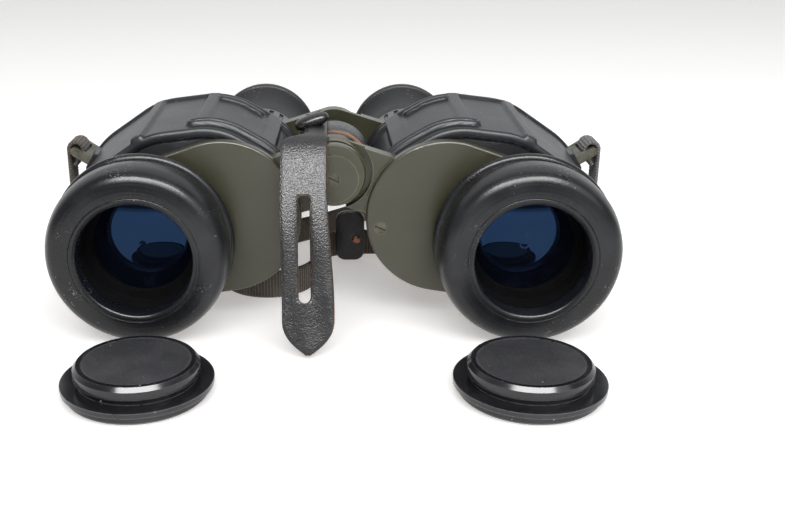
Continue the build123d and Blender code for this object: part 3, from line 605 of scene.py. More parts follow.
@dataclass(frozen=True)
class PaintFinish(Finish):
    """Satin paint on metal, rubbed thin along its edges; the pale edges are also a painted
    highlight.
    """

    colour: Colour = (0.047, 0.046, 0.026)
    shade: Colour = (0.036, 0.036, 0.017)
    # pale olive of rubbed edges and scuffs; along the edges it is also a painted highlight
    worn: Colour = (0.24, 0.235, 0.11)
    roughness: float = 0.34
    wear: float = 0.9
    coat: float = 0.25

    def make(self) -> bpy.types.Material:
        """Build the material."""
        material, wires, shader = self._open(Coat_Weight=self.coat, Coat_Roughness=0.22)
        where = wires.object_place()
        cloud = wires.noise(where, 30.0, 4.0, 0.6)
        fine = wires.noise(where, 1500.0, 2.0, 0.5)
        base = wires.blend(wires.ramp(cloud, 0.35, 0.68), self.shade, self.colour)
        edges = use_group(wires, EFFECTS.worn_edges(), Width=0.0007, Break_Up=260.0,
                          Amount=self.wear)
        specks = use_group(wires, EFFECTS.specks(), Scale=170.0, Size=0.06, Share=0.08)
        scuffs = use_group(wires, EFFECTS.scratches(), Scale=15.0, Thin=0.0022, Share=0.25)
        # edges in pale olive: partly worn paint, partly a painted highlight along the rims
        base = wires.blend(wires.math("MULTIPLY", edges.outputs[0], 0.75), base, self.worn)
        base = wires.blend(wires.math("MULTIPLY", specks.outputs[0], 0.6), base,
                           (0.42, 0.42, 0.36))
        base = wires.blend(wires.math("MULTIPLY", scuffs.outputs[0], 0.18), base, self.worn)
        wires.feed(shader.inputs["Base Color"], base)
        rough = wires.math("ADD", wires.span(cloud, self.roughness - 0.05, self.roughness + 0.1),
                           wires.math("MULTIPLY", edges.outputs[0], 0.1))
        wires.feed(shader.inputs["Roughness"], rough)
        bump = wires.node("ShaderNodeBump", None, Height=wires.math(
            "SUBTRACT", fine, wires.math("MULTIPLY", edges.outputs[0], 0.8)),
            Strength=1.0, Distance=0.000012)
        wires.feed(shader.inputs["Normal"], bump.outputs[0])
        return material


@dataclass(frozen=True)
class MetalFinish(Finish):
    """Bare or anodised metal with fine grain and tarnish."""

    colour: Colour = (0.45, 0.45, 0.46)
    tarnish: Colour = (0.22, 0.22, 0.22)
    metallic: float = 1.0
    roughness: float = 0.3
    shine: float = 0.5

    def make(self) -> bpy.types.Material:
        """Build the material."""
        material, wires, shader = self._open(Metallic=self.metallic,
                                             Specular_IOR_Level=self.shine)
        where = wires.object_place()
        cloud = wires.noise(where, 160.0, 4.0, 0.65)
        fine = wires.noise(where, 2600.0, 3.0, 0.6)
        base = wires.blend(wires.ramp(cloud, 0.4, 0.7), self.colour, self.tarnish)
        edges = use_group(wires, EFFECTS.worn_edges(), Width=0.0003, Break_Up=900.0, Amount=0.5)
        bright = tuple(min(1.0, c * 1.6 + 0.03) for c in self.colour)
        base = wires.blend(wires.math("MULTIPLY", edges.outputs[0], 0.6), base, bright)
        wires.feed(shader.inputs["Base Color"], base)
        wires.feed(shader.inputs["Roughness"],
                   wires.span(cloud, self.roughness - 0.06, self.roughness + 0.16))
        bump = wires.node("ShaderNodeBump", None, Height=fine, Strength=1.0, Distance=0.00001)
        wires.feed(shader.inputs["Normal"], bump.outputs[0])
        return material


@dataclass(frozen=True)
class CoatedLensFinish(Finish):
    """Dark glass whose coating throws back one colour."""

    reflected: Colour = (0.17, 0.42, 1.0)
    depth: Colour = (0.003, 0.004, 0.008)
    ior: float = 1.6

    def make(self) -> bpy.types.Material:
        """Build the material."""
        material, wires, shader = self._open(IOR=self.ior, Specular_Tint=(*self.reflected, 1.0),
                                             Roughness=0.02)
        where = wires.object_place()
        haze = wires.ramp(wires.noise(where, 90.0, 4.0, 0.6), 0.5, 0.8)
        specks = use_group(wires, EFFECTS.specks(), Scale=300.0, Size=0.05, Share=0.06)
        lifted = tuple(c * 2.2 + 0.002 for c in self.depth)
        base = wires.blend(haze, self.depth, lifted)
        base = wires.blend(wires.math("MULTIPLY", specks.outputs[0], 0.25), base,
                           (0.2, 0.21, 0.24))
        wires.feed(shader.inputs["Base Color"], base)
        wires.feed(shader.inputs["Roughness"], wires.span(haze, 0.02, 0.06))
        return material


@dataclass(frozen=True)
class ClearGlassFinish(Finish):
    """Polished clear glass."""

    tint: Colour = (0.82, 0.87, 0.88)

    def make(self) -> bpy.types.Material:
        """Build the material."""
        material, wires, shader = self._open(Transmission_Weight=1.0, IOR=1.52, Roughness=0.02)
        where = wires.object_place()
        haze = wires.ramp(wires.noise(where, 120.0, 3.0, 0.6), 0.45, 0.8)
        wires.feed(shader.inputs["Base Color"], wires.blend(haze, self.tint,
                                                            tuple(c * 0.9 for c in self.tint)))
        return material


@dataclass(frozen=True)
class LeatherFinish(Finish):
    """Black embossed leather with a worn sheen."""

    colour: Colour = (0.009, 0.009, 0.010)
    worn: Colour = (0.024, 0.022, 0.022)
    roughness: float = 0.23
    depth: float = 0.00013
    scale: float = 1650.0

    def make(self) -> bpy.types.Material:
        """Build the material."""
        material, wires, shader = self._open(Specular_IOR_Level=0.55)
        where = wires.object_place()
        grain = use_group(wires, EFFECTS.pebbles(), Scale=self.scale, Fine=0.25)
        cloud = wires.noise(where, 70.0, 3.0, 0.6)
        edges = use_group(wires, EFFECTS.worn_edges(), Width=0.0008, Break_Up=500.0, Amount=0.6)
        base = wires.blend(wires.ramp(cloud, 0.45, 0.8), self.colour, self.worn)
        base = wires.blend(wires.math("MULTIPLY", edges.outputs[0], 0.5), base,
                           (0.12, 0.075, 0.05))
        specks = use_group(wires, EFFECTS.specks(), Scale=420.0, Size=0.10, Share=0.05)
        base = wires.blend(wires.math("MULTIPLY", specks.outputs[0], 0.4), base, (0.4, 0.4, 0.4))
        wires.feed(shader.inputs["Base Color"], base)
        valley = wires.math("SUBTRACT", 1.0, grain.outputs[0], clamp=True)
        wires.feed(shader.inputs["Roughness"], wires.math(
            "ADD", wires.span(cloud, self.roughness - 0.06, self.roughness + 0.1),
            wires.math("MULTIPLY", valley, 0.35)))
        bump = wires.node("ShaderNodeBump", None, Height=grain.outputs[0], Strength=1.0,
                          Distance=self.depth)
        wires.feed(shader.inputs["Normal"], bump.outputs[0])
        return material


@dataclass(frozen=True)
class RawEdgeFinish(Finish):
    """Cut edge and flesh side of leather."""

    colour: Colour = (0.42, 0.235, 0.145)
    dark: Colour = (0.20, 0.095, 0.06)

    def make(self) -> bpy.types.Material:
        """Build the material."""
        material, wires, shader = self._open(Roughness=0.8)
        where = wires.object_place()
        fibre = wires.noise(where, 1400.0, 5.0, 0.7)
        stain = wires.noise(where, 110.0, 3.0, 0.6)
        base = wires.blend(wires.ramp(stain, 0.35, 0.7), self.colour, self.dark)
        base = wires.blend(wires.math("MULTIPLY", wires.ramp(fibre, 0.5, 0.75), 0.5), base,
                           (0.48, 0.29, 0.18))
        wires.feed(shader.inputs["Base Color"], base)
        bump = wires.node("ShaderNodeBump", None, Height=fibre, Strength=1.0, Distance=0.00015)
        wires.feed(shader.inputs["Normal"], bump.outputs[0])
        return material


@dataclass(frozen=True)
class WebbingFinish(Finish):
    """Ribbed cotton webbing whose ribs run across it, with painted shade in the valleys between the
    ribs.
    """

    colour: Colour = (0.105, 0.085, 0.065)
    dark: Colour = (0.030, 0.024, 0.020)
    pale: Colour = (0.22, 0.20, 0.17)
    pitch: float = 0.00125
    thread_pitch: float = 0.0009

    def make(self) -> bpy.types.Material:
        """Build the material."""
        material, wires, shader = self._open(Roughness=0.85, Sheen_Weight=0.15,
                                             Sheen_Roughness=0.5)
        run = wires.node("ShaderNodeAttribute", {"attribute_name": "run"}).outputs["Fac"]
        across = wires.node("ShaderNodeAttribute", {"attribute_name": "across"}).outputs["Fac"]
        where = wires.object_place()
        turn = wires.math("MULTIPLY", run, 2 * math.pi / self.pitch)
        rib = wires.math("MULTIPLY_ADD", wires.math("SINE", turn), 0.5, 0.5)
        thread = wires.math("MULTIPLY_ADD", wires.math("SINE", wires.math(
            "MULTIPLY", across, 2 * math.pi / self.thread_pitch)), 0.5, 0.5)
        fuzz = wires.noise(where, 2200.0, 4.0, 0.7)
        faded = wires.noise(where, 24.0, 3.0, 0.6)
        # painted shade: the ribs' valleys, where the relief sinks, are painted dark
        base = wires.blend(wires.ramp(rib, 0.1, 0.75), self.dark, self.colour)
        base = wires.blend(wires.math("MULTIPLY", wires.ramp(faded, 0.42, 0.75), 0.6), base,
                           self.pale)
        base = wires.blend(wires.math("MULTIPLY", wires.ramp(fuzz, 0.5, 0.8), 0.35), base,
                           self.pale)
        base = wires.blend(wires.math("MULTIPLY", thread, 0.22), base, self.dark)
        wires.feed(shader.inputs["Base Color"], base)
        height = wires.math("ADD", rib, wires.math("ADD", wires.math("MULTIPLY", fuzz, 0.8),
                                                   wires.math("MULTIPLY", thread, 0.5)))
        bump = wires.node("ShaderNodeBump", None, Height=height, Strength=1.0, Distance=0.00012)
        wires.feed(shader.inputs["Normal"], bump.outputs[0])
        return material


@dataclass(frozen=True)
class PlasticFinish(Finish):
    """Moulded black plastic: glossy with hairline scratches, or grained, with pale edges that are
    partly wear and partly a painted highlight.
    """

    colour: Colour = (0.012, 0.012, 0.014)
    roughness: float = 0.16
    grain: float = 0.0
    specks: float = 0.08

    def make(self) -> bpy.types.Material:
        """Build the material."""
        material, wires, shader = self._open(Specular_IOR_Level=0.5)
        where = wires.object_place()
        cloud = wires.noise(where, 55.0, 4.0, 0.6)
        specks = use_group(wires, EFFECTS.specks(), Scale=380.0, Size=0.11, Share=self.specks)
        scuffs = use_group(wires, EFFECTS.scratches(), Scale=34.0, Thin=0.003, Share=0.5)
        edges = use_group(wires, EFFECTS.worn_edges(), Width=0.0008, Break_Up=300.0, Amount=0.9)
        lifted = tuple(c * 1.7 + 0.006 for c in self.colour)
        base = wires.blend(wires.ramp(cloud, 0.4, 0.75), self.colour, lifted)
        if self.grain:
            fine = wires.noise(where, 1500.0, 2.0, 0.8)
            base = wires.blend(wires.math("MULTIPLY", wires.ramp(fine, 0.52, 0.7), 0.6), base,
                               tuple(c * 2.6 + 0.02 for c in self.colour))
            bump = wires.node("ShaderNodeBump", None, Height=fine, Strength=1.0,
                              Distance=self.grain)
            wires.feed(shader.inputs["Normal"], bump.outputs[0])
        # pale edges: partly rubbed plastic, partly a painted highlight along the rims
        base = wires.blend(wires.math("MULTIPLY", edges.outputs[0], 0.55), base,
                           (0.19, 0.19, 0.205))
        base = wires.blend(wires.math("MULTIPLY", specks.outputs[0], 0.6), base,
                           (0.5, 0.5, 0.5))
        wires.feed(shader.inputs["Base Color"], base)
        wires.feed(shader.inputs["Roughness"], wires.math(
            "ADD", wires.span(cloud, self.roughness - 0.05, self.roughness + 0.1),
            wires.math("MULTIPLY", scuffs.outputs[0], 0.25)))
        return material


class Palette:
    """Every finish of the binoculars, built once and shared."""

    def __init__(self) -> None:
        """Build the finishes."""
        x, z = LAYOUT.objective_x * MM, LAYOUT.objective_z * MM
        self.ring = {side: RubberFinish(
            f"ring_rubber_{side.word}", colour=(0.008, 0.0085, 0.010), roughness=0.23,
            speck_share=0.16, nick_share=0.5, grain=0.00004,
            ring_centre=(side.value * x, z)).make() for side in Side}
        self.armour = RubberFinish("armour_rubber", colour=(0.013, 0.014, 0.017),
                                   dusty=(0.036, 0.038, 0.044), roughness=0.31).make()
        self.eyecup = RubberFinish("eyecup_rubber", colour=(0.012, 0.0125, 0.014),
                                   roughness=0.36, speck_share=0.08).make()
        self.olive = PaintFinish("olive_paint").make()
        self.black = PaintFinish("black_enamel", colour=(0.018, 0.019, 0.021),
                                 shade=(0.013, 0.013, 0.015), worn=(0.22, 0.21, 0.19),
                                 roughness=0.34, wear=0.4).make()
        self.anodised = MetalFinish("anodised", colour=(0.005, 0.005, 0.006),
                                    tarnish=(0.003, 0.003, 0.003), metallic=0.0,
                                    roughness=0.8, shine=0.06).make()
        self.steel = MetalFinish("steel").make()
        self.dark_steel = MetalFinish("dark_steel", colour=(0.13, 0.125, 0.10),
                                      tarnish=(0.05, 0.05, 0.035), roughness=0.38).make()
        self.copper = MetalFinish("copper", colour=(0.42, 0.19, 0.12),
                                  tarnish=(0.16, 0.08, 0.055), roughness=0.42).make()
        self.coated_lens = CoatedLensFinish("coated_lens").make()
        self.clear_glass = ClearGlassFinish("clear_glass").make()
        self.prism_glass = ClearGlassFinish("prism_glass", tint=(0.75, 0.80, 0.80)).make()
        self.leather = LeatherFinish("black_leather").make()
        self.glossy_leather = LeatherFinish("glossy_leather", roughness=0.16,
                                            depth=0.000003, scale=700.0).make()
        self.raw_edge = RawEdgeFinish("leather_raw_edge").make()
        self.webbing = WebbingFinish("webbing").make()
        self.faded_webbing = WebbingFinish("faded_webbing", colour=(0.17, 0.165, 0.16),
                                           dark=(0.07, 0.066, 0.062),
                                           pale=(0.30, 0.295, 0.29)).make()
        self.cap = PlasticFinish("cap_plastic").make()
        self.cap_inlay = PlasticFinish("cap_inlay_plastic", colour=(0.019, 0.019, 0.022),
                                       roughness=0.55, grain=0.00008, specks=0.05).make()
        LOG.info("%d materials", len(bpy.data.materials))


# ------------------------------------------------------------------ geometry nodes
class NodeShop:
    """Geometry node trees for what follows a path."""

    def __init__(self) -> None:
        """Start with no trees."""
        self.trees: dict[str, bpy.types.NodeTree] = {}

    @staticmethod
    def _open(name: str, inputs: Sequence[tuple[str, str, object]]
              ) -> tuple[bpy.types.NodeTree, Wiring, dict, bpy.types.Node]:
        """Open a tree with a geometry input, named inputs and a geometry output.

        Args:
            name: Name of the tree.
            inputs: Name, socket type and first value of each further input.

        Returns:
            The tree, its wiring, its inputs by name and its output node.
        """
        tree = bpy.data.node_groups.new(name, "GeometryNodeTree")
        tree.interface.new_socket("Geometry", in_out="INPUT", socket_type="NodeSocketGeometry")
        for label, kind, value in inputs:
            socket = tree.interface.new_socket(label, in_out="INPUT", socket_type=kind)
            if value is not None:
                socket.default_value = value
        tree.interface.new_socket("Geometry", in_out="OUTPUT", socket_type="NodeSocketGeometry")
        entry = tree.nodes.new("NodeGroupInput")
        leave = tree.nodes.new("NodeGroupOutput")
        return tree, Wiring(tree), entry.outputs, leave

    def ribbon(self) -> bpy.types.NodeTree:
        """Flat ribbed webbing that follows a curve, standing on its edge."""
        if "ribbon" in self.trees:
            return self.trees["ribbon"]
        tree, wires, given, leave = self._open("webbing_ribbon", [
            ("Width", "NodeSocketFloat", 0.012), ("Thickness", "NodeSocketFloat", 0.0017),
            ("Step", "NodeSocketFloat", 0.0005), ("Rib Pitch", "NodeSocketFloat", 0.00125),
            ("Rib Height", "NodeSocketFloat", 0.00012), ("Material", "NodeSocketMaterial", None)])
        along = wires.node("GeometryNodeResampleCurve", {"mode": "LENGTH"})
        wires.feed(along.inputs["Curve"], given["Geometry"])
        wires.feed(along.inputs["Length"], given["Step"])
        upright = wires.node("GeometryNodeSetCurveNormal", {"mode": "Z_UP"})
        wires.feed(upright.inputs["Curve"], along.outputs[0])
        run = wires.node("GeometryNodeStoreNamedAttribute",
                         {"data_type": "FLOAT", "domain": "POINT"}, Name="run")
        wires.feed(run.inputs["Geometry"], upright.outputs[0])
        wires.feed(run.inputs["Value"], wires.node("GeometryNodeSplineParameter").outputs["Length"])
        section = wires.node("GeometryNodeCurvePrimitiveQuadrilateral")
        wires.feed(section.inputs["Width"], given["Thickness"])
        wires.feed(section.inputs["Height"], given["Width"])
        rounded = wires.node("GeometryNodeFilletCurve", {"mode": "POLY"})
        wires.feed(rounded.inputs["Curve"], section.outputs[0])
        wires.feed(rounded.inputs["Count"], 3)
        wires.feed(rounded.inputs["Radius"], wires.math("MULTIPLY", given["Thickness"], 0.42))
        side = wires.node("GeometryNodeResampleCurve", {"mode": "COUNT"}, Count=28)
        wires.feed(side.inputs["Curve"], rounded.outputs[0])
        place = wires.node("ShaderNodeSeparateXYZ", None,
                           Vector=wires.node("GeometryNodeInputPosition").outputs[0])
        across = wires.node("GeometryNodeStoreNamedAttribute",
                            {"data_type": "FLOAT", "domain": "POINT"}, Name="across")
        wires.feed(across.inputs["Geometry"], side.outputs[0])
        wires.feed(across.inputs["Value"], place.outputs[1])
        body = wires.node("GeometryNodeCurveToMesh", None, Fill_Caps=True)
        wires.feed(body.inputs["Curve"], run.outputs[0])
        wires.feed(body.inputs["Profile Curve"], across.outputs[0])
        length = wires.node("GeometryNodeInputNamedAttribute", {"data_type": "FLOAT"}, Name="run")
        turn = wires.math("DIVIDE", wires.math("MULTIPLY", length.outputs[0], 2 * math.pi),
                          given["Rib Pitch"])
        rise = wires.math("MULTIPLY", wires.math("SINE", turn), given["Rib Height"])
        outward = wires.node("GeometryNodeInputNormal").outputs[0]
        push = wires.node("ShaderNodeVectorMath", {"operation": "SCALE"}, Scale=rise)
        wires.feed(push.inputs[0], outward)
        moved = wires.node("GeometryNodeSetPosition", None, Offset=push.outputs[0])
        wires.feed(moved.inputs["Geometry"], body.outputs[0])
        smooth = wires.node("GeometryNodeSetShadeSmooth")
        wires.feed(smooth.inputs[0], moved.outputs[0])
        whole = wires.node("GeometryNodeRealizeInstances")
        wires.feed(whole.inputs[0], smooth.outputs[0])
        dressed = wires.node("GeometryNodeSetMaterial")
        wires.feed(dressed.inputs["Geometry"], whole.outputs[0])
        wires.feed(dressed.inputs["Material"], given["Material"])
        wires.feed(leave.inputs[0], dressed.outputs[0])
        self.trees["ribbon"] = tree
        return tree


SHOP = NodeShop()


def run_tree(piece: bpy.types.Object, tree: bpy.types.NodeTree,
             **inputs: object) -> bpy.types.Object:
    """Run a geometry tree on a piece and keep the result as plain mesh.

    Args:
        piece: Object that the tree starts from.
        tree: The geometry node tree.
        inputs: Named inputs, with "_" for a space.

    Returns:
        The finished mesh object.
    """
    modifier = piece.modifiers.new(tree.name, "NODES")
    modifier.node_group = tree
    for item in tree.interface.items_tree:
        key = item.name.replace(" ", "_")
        if item.in_out == "INPUT" and key in inputs:
            modifier[item.identifier] = inputs[key]
    return bake_modifiers(piece)


def spline(name: str, points: Sequence[Point], order: int = 3) -> bpy.types.Object:
    """A smooth open curve with these control points.

    Args:
        name: Name of the curve.
        points: Control points in metres.
        order: Order of the curve.

    Returns:
        The curve object, linked to the scene.
    """
    curve = bpy.data.curves.new(name, "CURVE")
    curve.dimensions = "3D"
    curve.resolution_u = 12
    line = curve.splines.new("NURBS")
    line.points.add(len(points) - 1)
    for point, place in zip(line.points, points):
        point.co = (*place, 1.0)
    line.order_u = order
    line.use_endpoint_u = True
    piece = bpy.data.objects.new(name, curve)
    bpy.context.scene.collection.objects.link(piece)
    return piece


def curve_points(piece: bpy.types.Object) -> list[Point]:
    """Points along a bare curve, as Blender draws it."""
    bpy.context.view_layer.update()
    depsgraph = bpy.context.evaluated_depsgraph_get()
    mesh = bpy.data.meshes.new_from_object(piece.evaluated_get(depsgraph), depsgraph=depsgraph)
    points = [tuple(v.co) for v in mesh.vertices]
    bpy.data.meshes.remove(mesh)
    return points


# ------------------------------------------------------------------ sub-assemblies
@dataclass
class ObjectiveRing:
    """Rubber ring round one objective, with its big front roll, groove and rear bead."""

    side: Side
    segments: int = 192
    lip: tuple = ((21.2, 6.95), (21.2, 3.8), (21.35, 1.8), (21.6, 0.8), (22.2, 0.25), (23.0, 0.02))
    face: tuple = ((23.0, 0.02), (23.7, 0.05), (24.0, 0.32), (24.3, 0.14), (26.5, 0.35),
                   (28.8, 0.8))
    roll: tuple = ((28.8, 0.8), (30.6, 1.45), (32.1, 2.6), (33.2, 4.3), (33.9, 6.5), (34.3, 9.0),
                   (34.4, 11.6), (34.3, 14.0), (33.7, 16.5), (32.7, 18.2))
    bead: tuple = ((32.7, 18.2), (31.8, 18.9), (31.6, 19.4), (32.2, 19.9), (33.7, 20.3),
                   (34.7, 21.1), (35.0, 22.2), (34.75, 23.3), (34.1, 24.0), (33.1, 24.35))
    tail: tuple = ((33.1, 24.35), (32.7, 24.6), (32.5, 26.4), (32.3, 28.3))

    def profile(self) -> list[tuple[float, float]]:
        """Closed outline of (radius, y)."""
        line: list[tuple[float, float]] = []
        for part in (self.lip, self.face, self.roll, self.bead, self.tail):
            line += smooth_line(part, 4)[:-1]
        return line + [(32.3, 28.35), (24.15, 28.35), (24.15, 7.0)]

    def build(self, palette: Palette) -> None:
        """Turn the ring and set it on its half."""
        phase = 0.9 * self.side.value

        def ripple(angle: float, y: float) -> float:
            """Slight unevenness of old rubber."""
            return 0.05 * math.sin(3 * angle + phase) + 0.03 * math.sin(7 * angle + 2 * phase + y)

        centre = (self.side.value * LAYOUT.objective_x, LAYOUT.objective_z)
        piece = lathe(f"objective_ring_{self.side.word}", self.profile(), centre, self.segments,
                      ripple)
        settle(piece, palette.ring[self.side], self.side.body,
               [f"objective_bumper_{self.side.word}"])


@dataclass
class Armour:
    """Rubber saddle over one prism housing, with its moulded ribs and beads."""

    side: Side
    wall: float = 3.8
    rounds: tuple = ((29.0, 8.0, 29.5), (23.0, 14.5, 26.8), (11.0, 11.5, 28.3), (0.0, 0.0, 31.565))
    centre: tuple = (53.0, 42.0)
    start_angle: float = -82.0
    end_angle: float = 167.0
    columns: int = 300
    rows: int = 96
    edge_round: float = 1.7
    table_gap: float = 0.02
    rib_height: float = 1.2
    bead_height: float = 1.4
    front_bead_height: float = 1.75
    ribs: tuple = (((26.0, 45.5), (25.0, 80.0), 2.6), ((51.3, 45.5), (50.0, 82.0), 2.7),
                   ((75.6, 36.5), (73.0, 82.0), 2.5))
    front_bead: tuple = ((4.0, 41.2), (14.0, 41.4), (24.0, 41.9), (36.0, 42.3), (47.0, 41.9),
                         (54.0, 41.2))
    rear_bead: tuple = ((31.0, 76.6), (39.5, 77.6), (46.2, 77.4))
    inner_bead: tuple = ((6.0, 77.0), (14.0, 77.0), (21.5, 76.8))

    def outline(self, y: float, growth: float) -> list[tuple[float, float, float]]:
        """Section of the saddle's base at this Y, sorted by angle.

        Args:
            y: Place along the housing in millimetres.
            growth: How far outside the housing, in millimetres.

        Returns:
            (angle, x, z) round the section, from -pi to pi.
        """
        cloud = []
        for inward, up, radius in self.rounds:
            r = radius + growth + LAYOUT.taper(y)
            cx, cz = LAYOUT.objective_x - inward, LAYOUT.objective_z + up
            cloud += [(cx + r * math.cos(math.radians(a)), cz + r * math.sin(math.radians(a)))
                      for a in range(0, 360, 2)]
        cloud.sort()
        halves = []
        for points in (cloud, cloud[::-1]):
            chain: list[tuple[float, float]] = []
            for p in points:
                while len(chain) > 1 and left_turn(chain[-2], chain[-1], p) <= 0:
                    chain.pop()
                chain.append(p)
            halves += chain[:-1]
        around = [(math.atan2(z - self.centre[1], x - self.centre[0]), x, z) for x, z in halves]
        return sorted(around)

    @staticmethod
    def crossing(around: list[tuple[float, float, float]], angle: float,
                 centre: tuple[float, float]) -> tuple[float, float]:
        """Where a ray from the centre meets the section.

        Args:
            around: The section as (angle, x, z), sorted by angle.
            angle: Direction of the ray in radians.
            centre: X and Z that the ray starts from.

        Returns:
            X and Z of the crossing.
        """
        low, high = 0, len(around)
        while low < high:
            middle = (low + high) // 2
            if around[middle][0] < angle:
                low = middle + 1
            else:
                high = middle
        _, ax, az = around[low - 1]
        _, bx, bz = around[low % len(around)]
        dx, dz = math.cos(angle), math.sin(angle)
        ex, ez = bx - ax, bz - az
        t = ((centre[0] - ax) * dz - (centre[1] - az) * dx) / (ex * dz - ez * dx)
        return ax + t * ex, az + t * ez

    def angles(self) -> list[float]:
        """Ray angles that space the columns evenly along the middle section."""
        around = self.outline(60.0, self.wall)
        start, end = math.radians(self.start_angle), math.radians(self.end_angle)
        fine = [start + (end - start) * i / 1500 for i in range(1501)]
        places = [self.crossing(around, a, self.centre) for a in fine]
        run = [0.0]
        for (ax, az), (bx, bz) in zip(places, places[1:]):
            run.append(run[-1] + math.hypot(bx - ax, bz - az))
        chosen, j = [], 0
        for i in range(self.columns + 1):
            target = run[-1] * i / self.columns
            while j < len(run) - 2 and run[j + 1] < target:
                j += 1
            share = (target - run[j]) / max(run[j + 1] - run[j], 1e-9)
            chosen.append(fine[j] + share * (fine[j + 1] - fine[j]))
        return chosen

    @staticmethod
    def ridge(distance: float, half: float, height: float) -> float:
        """Round-topped ridge of a half width and height."""
        if distance >= half:
            return 0.0
        return height * math.sqrt(max(0.0, 1 - (distance / half) ** 2)) * smooth_step(
            half - distance, 0.0, 0.45 * half)

    def relief(self, x: float, z: float, y: float, from_inner: float) -> float:
        """Height of the moulded pattern over the base surface.

        Args:
            x: Place across, on the right-hand half.
            z: Height over the table.
            y: Place along the housing.
            from_inner: Distance along the section from the saddle's inner edge.

        Returns:
            The height in millimetres, as all of these are.
        """
        height = 0.0
        # x unrolled: what lies past the inner shoulder keeps counting down its flank
        flat_x = x if z > 62 or x > 45 else x - 0.55 * (62 - z)
        for (ax, ay), (bx, by), half in self.ribs:
            off = path_distance(flat_x if z > 50 else 999.0, y, ((ax, ay), (bx, by)))
            height = max(height, self.rib_height * smooth_step(half - off, -0.4, 0.5))
        off = path_distance(flat_x, y, self.front_bead)
        ring = abs(off - 1.75)
        height = max(height, self.ridge(ring, 1.5, self.front_bead_height))
        for bead in (self.rear_bead, self.inner_bead):
            off = path_distance(flat_x, y, bead)
            height = max(height, self.bead_height * smooth_step(1.9 - off, -0.35, 0.8))
        height = max(height, self.ridge(abs(y - 81.9), 1.9, 1.05))
        height = max(height, self.ridge(abs(from_inner - 2.4), 1.5, 0.9))
        height = max(height, self.ridge(math.hypot(flat_x - 76.4, y - 37.4), 2.5, 1.5))
        if x > 78 and z > 20:
            along = (x - 73) * math.sin(math.radians(LAYOUT.lug_angle)) - (z - 35) * math.cos(
                math.radians(LAYOUT.lug_angle))
            collar = max(abs(along) - 3.2, abs(y - 80.0) - 9.6, 0.0)
            height = max(height, 1.5 * smooth_step(1.6 - collar, 0.0, 1.5))
        return height

    def build(self, palette: Palette) -> None:
        """Model the saddle as one closed skin."""
        angles = self.angles()
        rows = []
        sign = self.side.value
        for i in range(self.rows + 1):
            t = i / self.rows
            eased = t - 0.035 * math.sin(2 * math.pi * t)
            y = LAYOUT.armour_y + (LAYOUT.armour_end_y - LAYOUT.armour_y) * eased
            outer = self.outline(y, self.wall)
            inner = self.outline(y, 0.12)
            places = [self.crossing(outer, a, self.centre) for a in angles]
            under = [self.crossing(inner, a, self.centre) for a in angles]
            run = [0.0]
            for (ax, az), (bx, bz) in zip(places, places[1:]):
                run.append(run[-1] + math.hypot(bx - ax, bz - az))
            row = []
            for j, ((x, z), (ux, uz)) in enumerate(zip(places, under)):
                before, after = places[max(j - 1, 0)], places[min(j + 1, len(places) - 1)]
                tx, tz = after[0] - before[0], after[1] - before[1]
                size = math.hypot(tx, tz)
                nx, nz = tz / size, -tx / size
                border = min(run[j], run[-1] - run[j], (y - LAYOUT.armour_y),
                             (LAYOUT.armour_end_y - y))
                bulge = min(border / self.edge_round, 1.0)
                lowered = self.edge_round * (1 - math.sqrt(max(0.0, 1 - (1 - bulge) ** 2)))
                lift = self.relief(x, z, y, run[-1] - run[j]) * smooth_step(border, 0.0, 1.4)
                rise = lift - lowered
                if z + rise * nz < self.table_gap and nz < -0.05:
                    rise = (self.table_gap - z) / nz
                top = LAYOUT.row(sign * (x + rise * nx), y, z + rise * nz)
                row.append((top, LAYOUT.row(sign * ux, y, uz)))
            rows.append(row)
        piece = closed_sheet(f"armour_saddle_{self.side.word}", rows)
        settle(piece, palette.armour, self.side.body,
               [f"armour_{self.side.word}"])


@dataclass
class Eyecup:
    """Flared rubber eyecup with a rolled rim and a soft waist."""

    side: Side
    outside: tuple = ((17.6, 119.65), (17.9, 120.1), (17.7, 121.6), (17.2, 124.0), (17.0, 128.0),
                      (17.6, 132.6), (19.0, 137.0), (20.9, 140.9), (22.3, 143.2), (22.9, 144.3))
    rim: tuple = ((22.9, 144.3), (23.55, 144.6), (23.95, 145.6), (24.0, 147.2), (23.75, 148.8),
                  (22.9, 150.0), (21.6, 150.55), (20.5, 150.35))
    dish: tuple = ((20.5, 150.35), (19.4, 148.6), (17.2, 145.6), (14.6, 142.6), (12.6, 141.65))

    def build(self, palette: Palette) -> None:
        """Turn the cup and set it on the sliding eyepiece."""
        profile: list[tuple[float, float]] = []
        for part in (self.outside, self.rim, self.dish):
            profile += smooth_line(part, 5)[:-1]
        profile += [(12.6, 141.6), (13.45, 141.6), (13.45, 130.6), (15.3, 129.1), (15.3, 119.65)]
        centre = (self.side.value * LAYOUT.eye_x, LAYOUT.eye_z)

        def ripple(angle: float, y: float) -> float:
            """Slight sag of the soft rim."""
            share = smooth_step(y, 134.0, 148.0)
            return share * (0.10 * math.sin(2 * angle + 0.7 + self.side.value)
                            + 0.05 * math.sin(5 * angle)) - share * 0.14

        piece = lathe(f"eyecup_rubber_{self.side.word}", profile, centre, 144, ripple)
        settle(piece, palette.eyecup, self.side.eyepiece,
               [f"eyecup_{self.side.word}"])


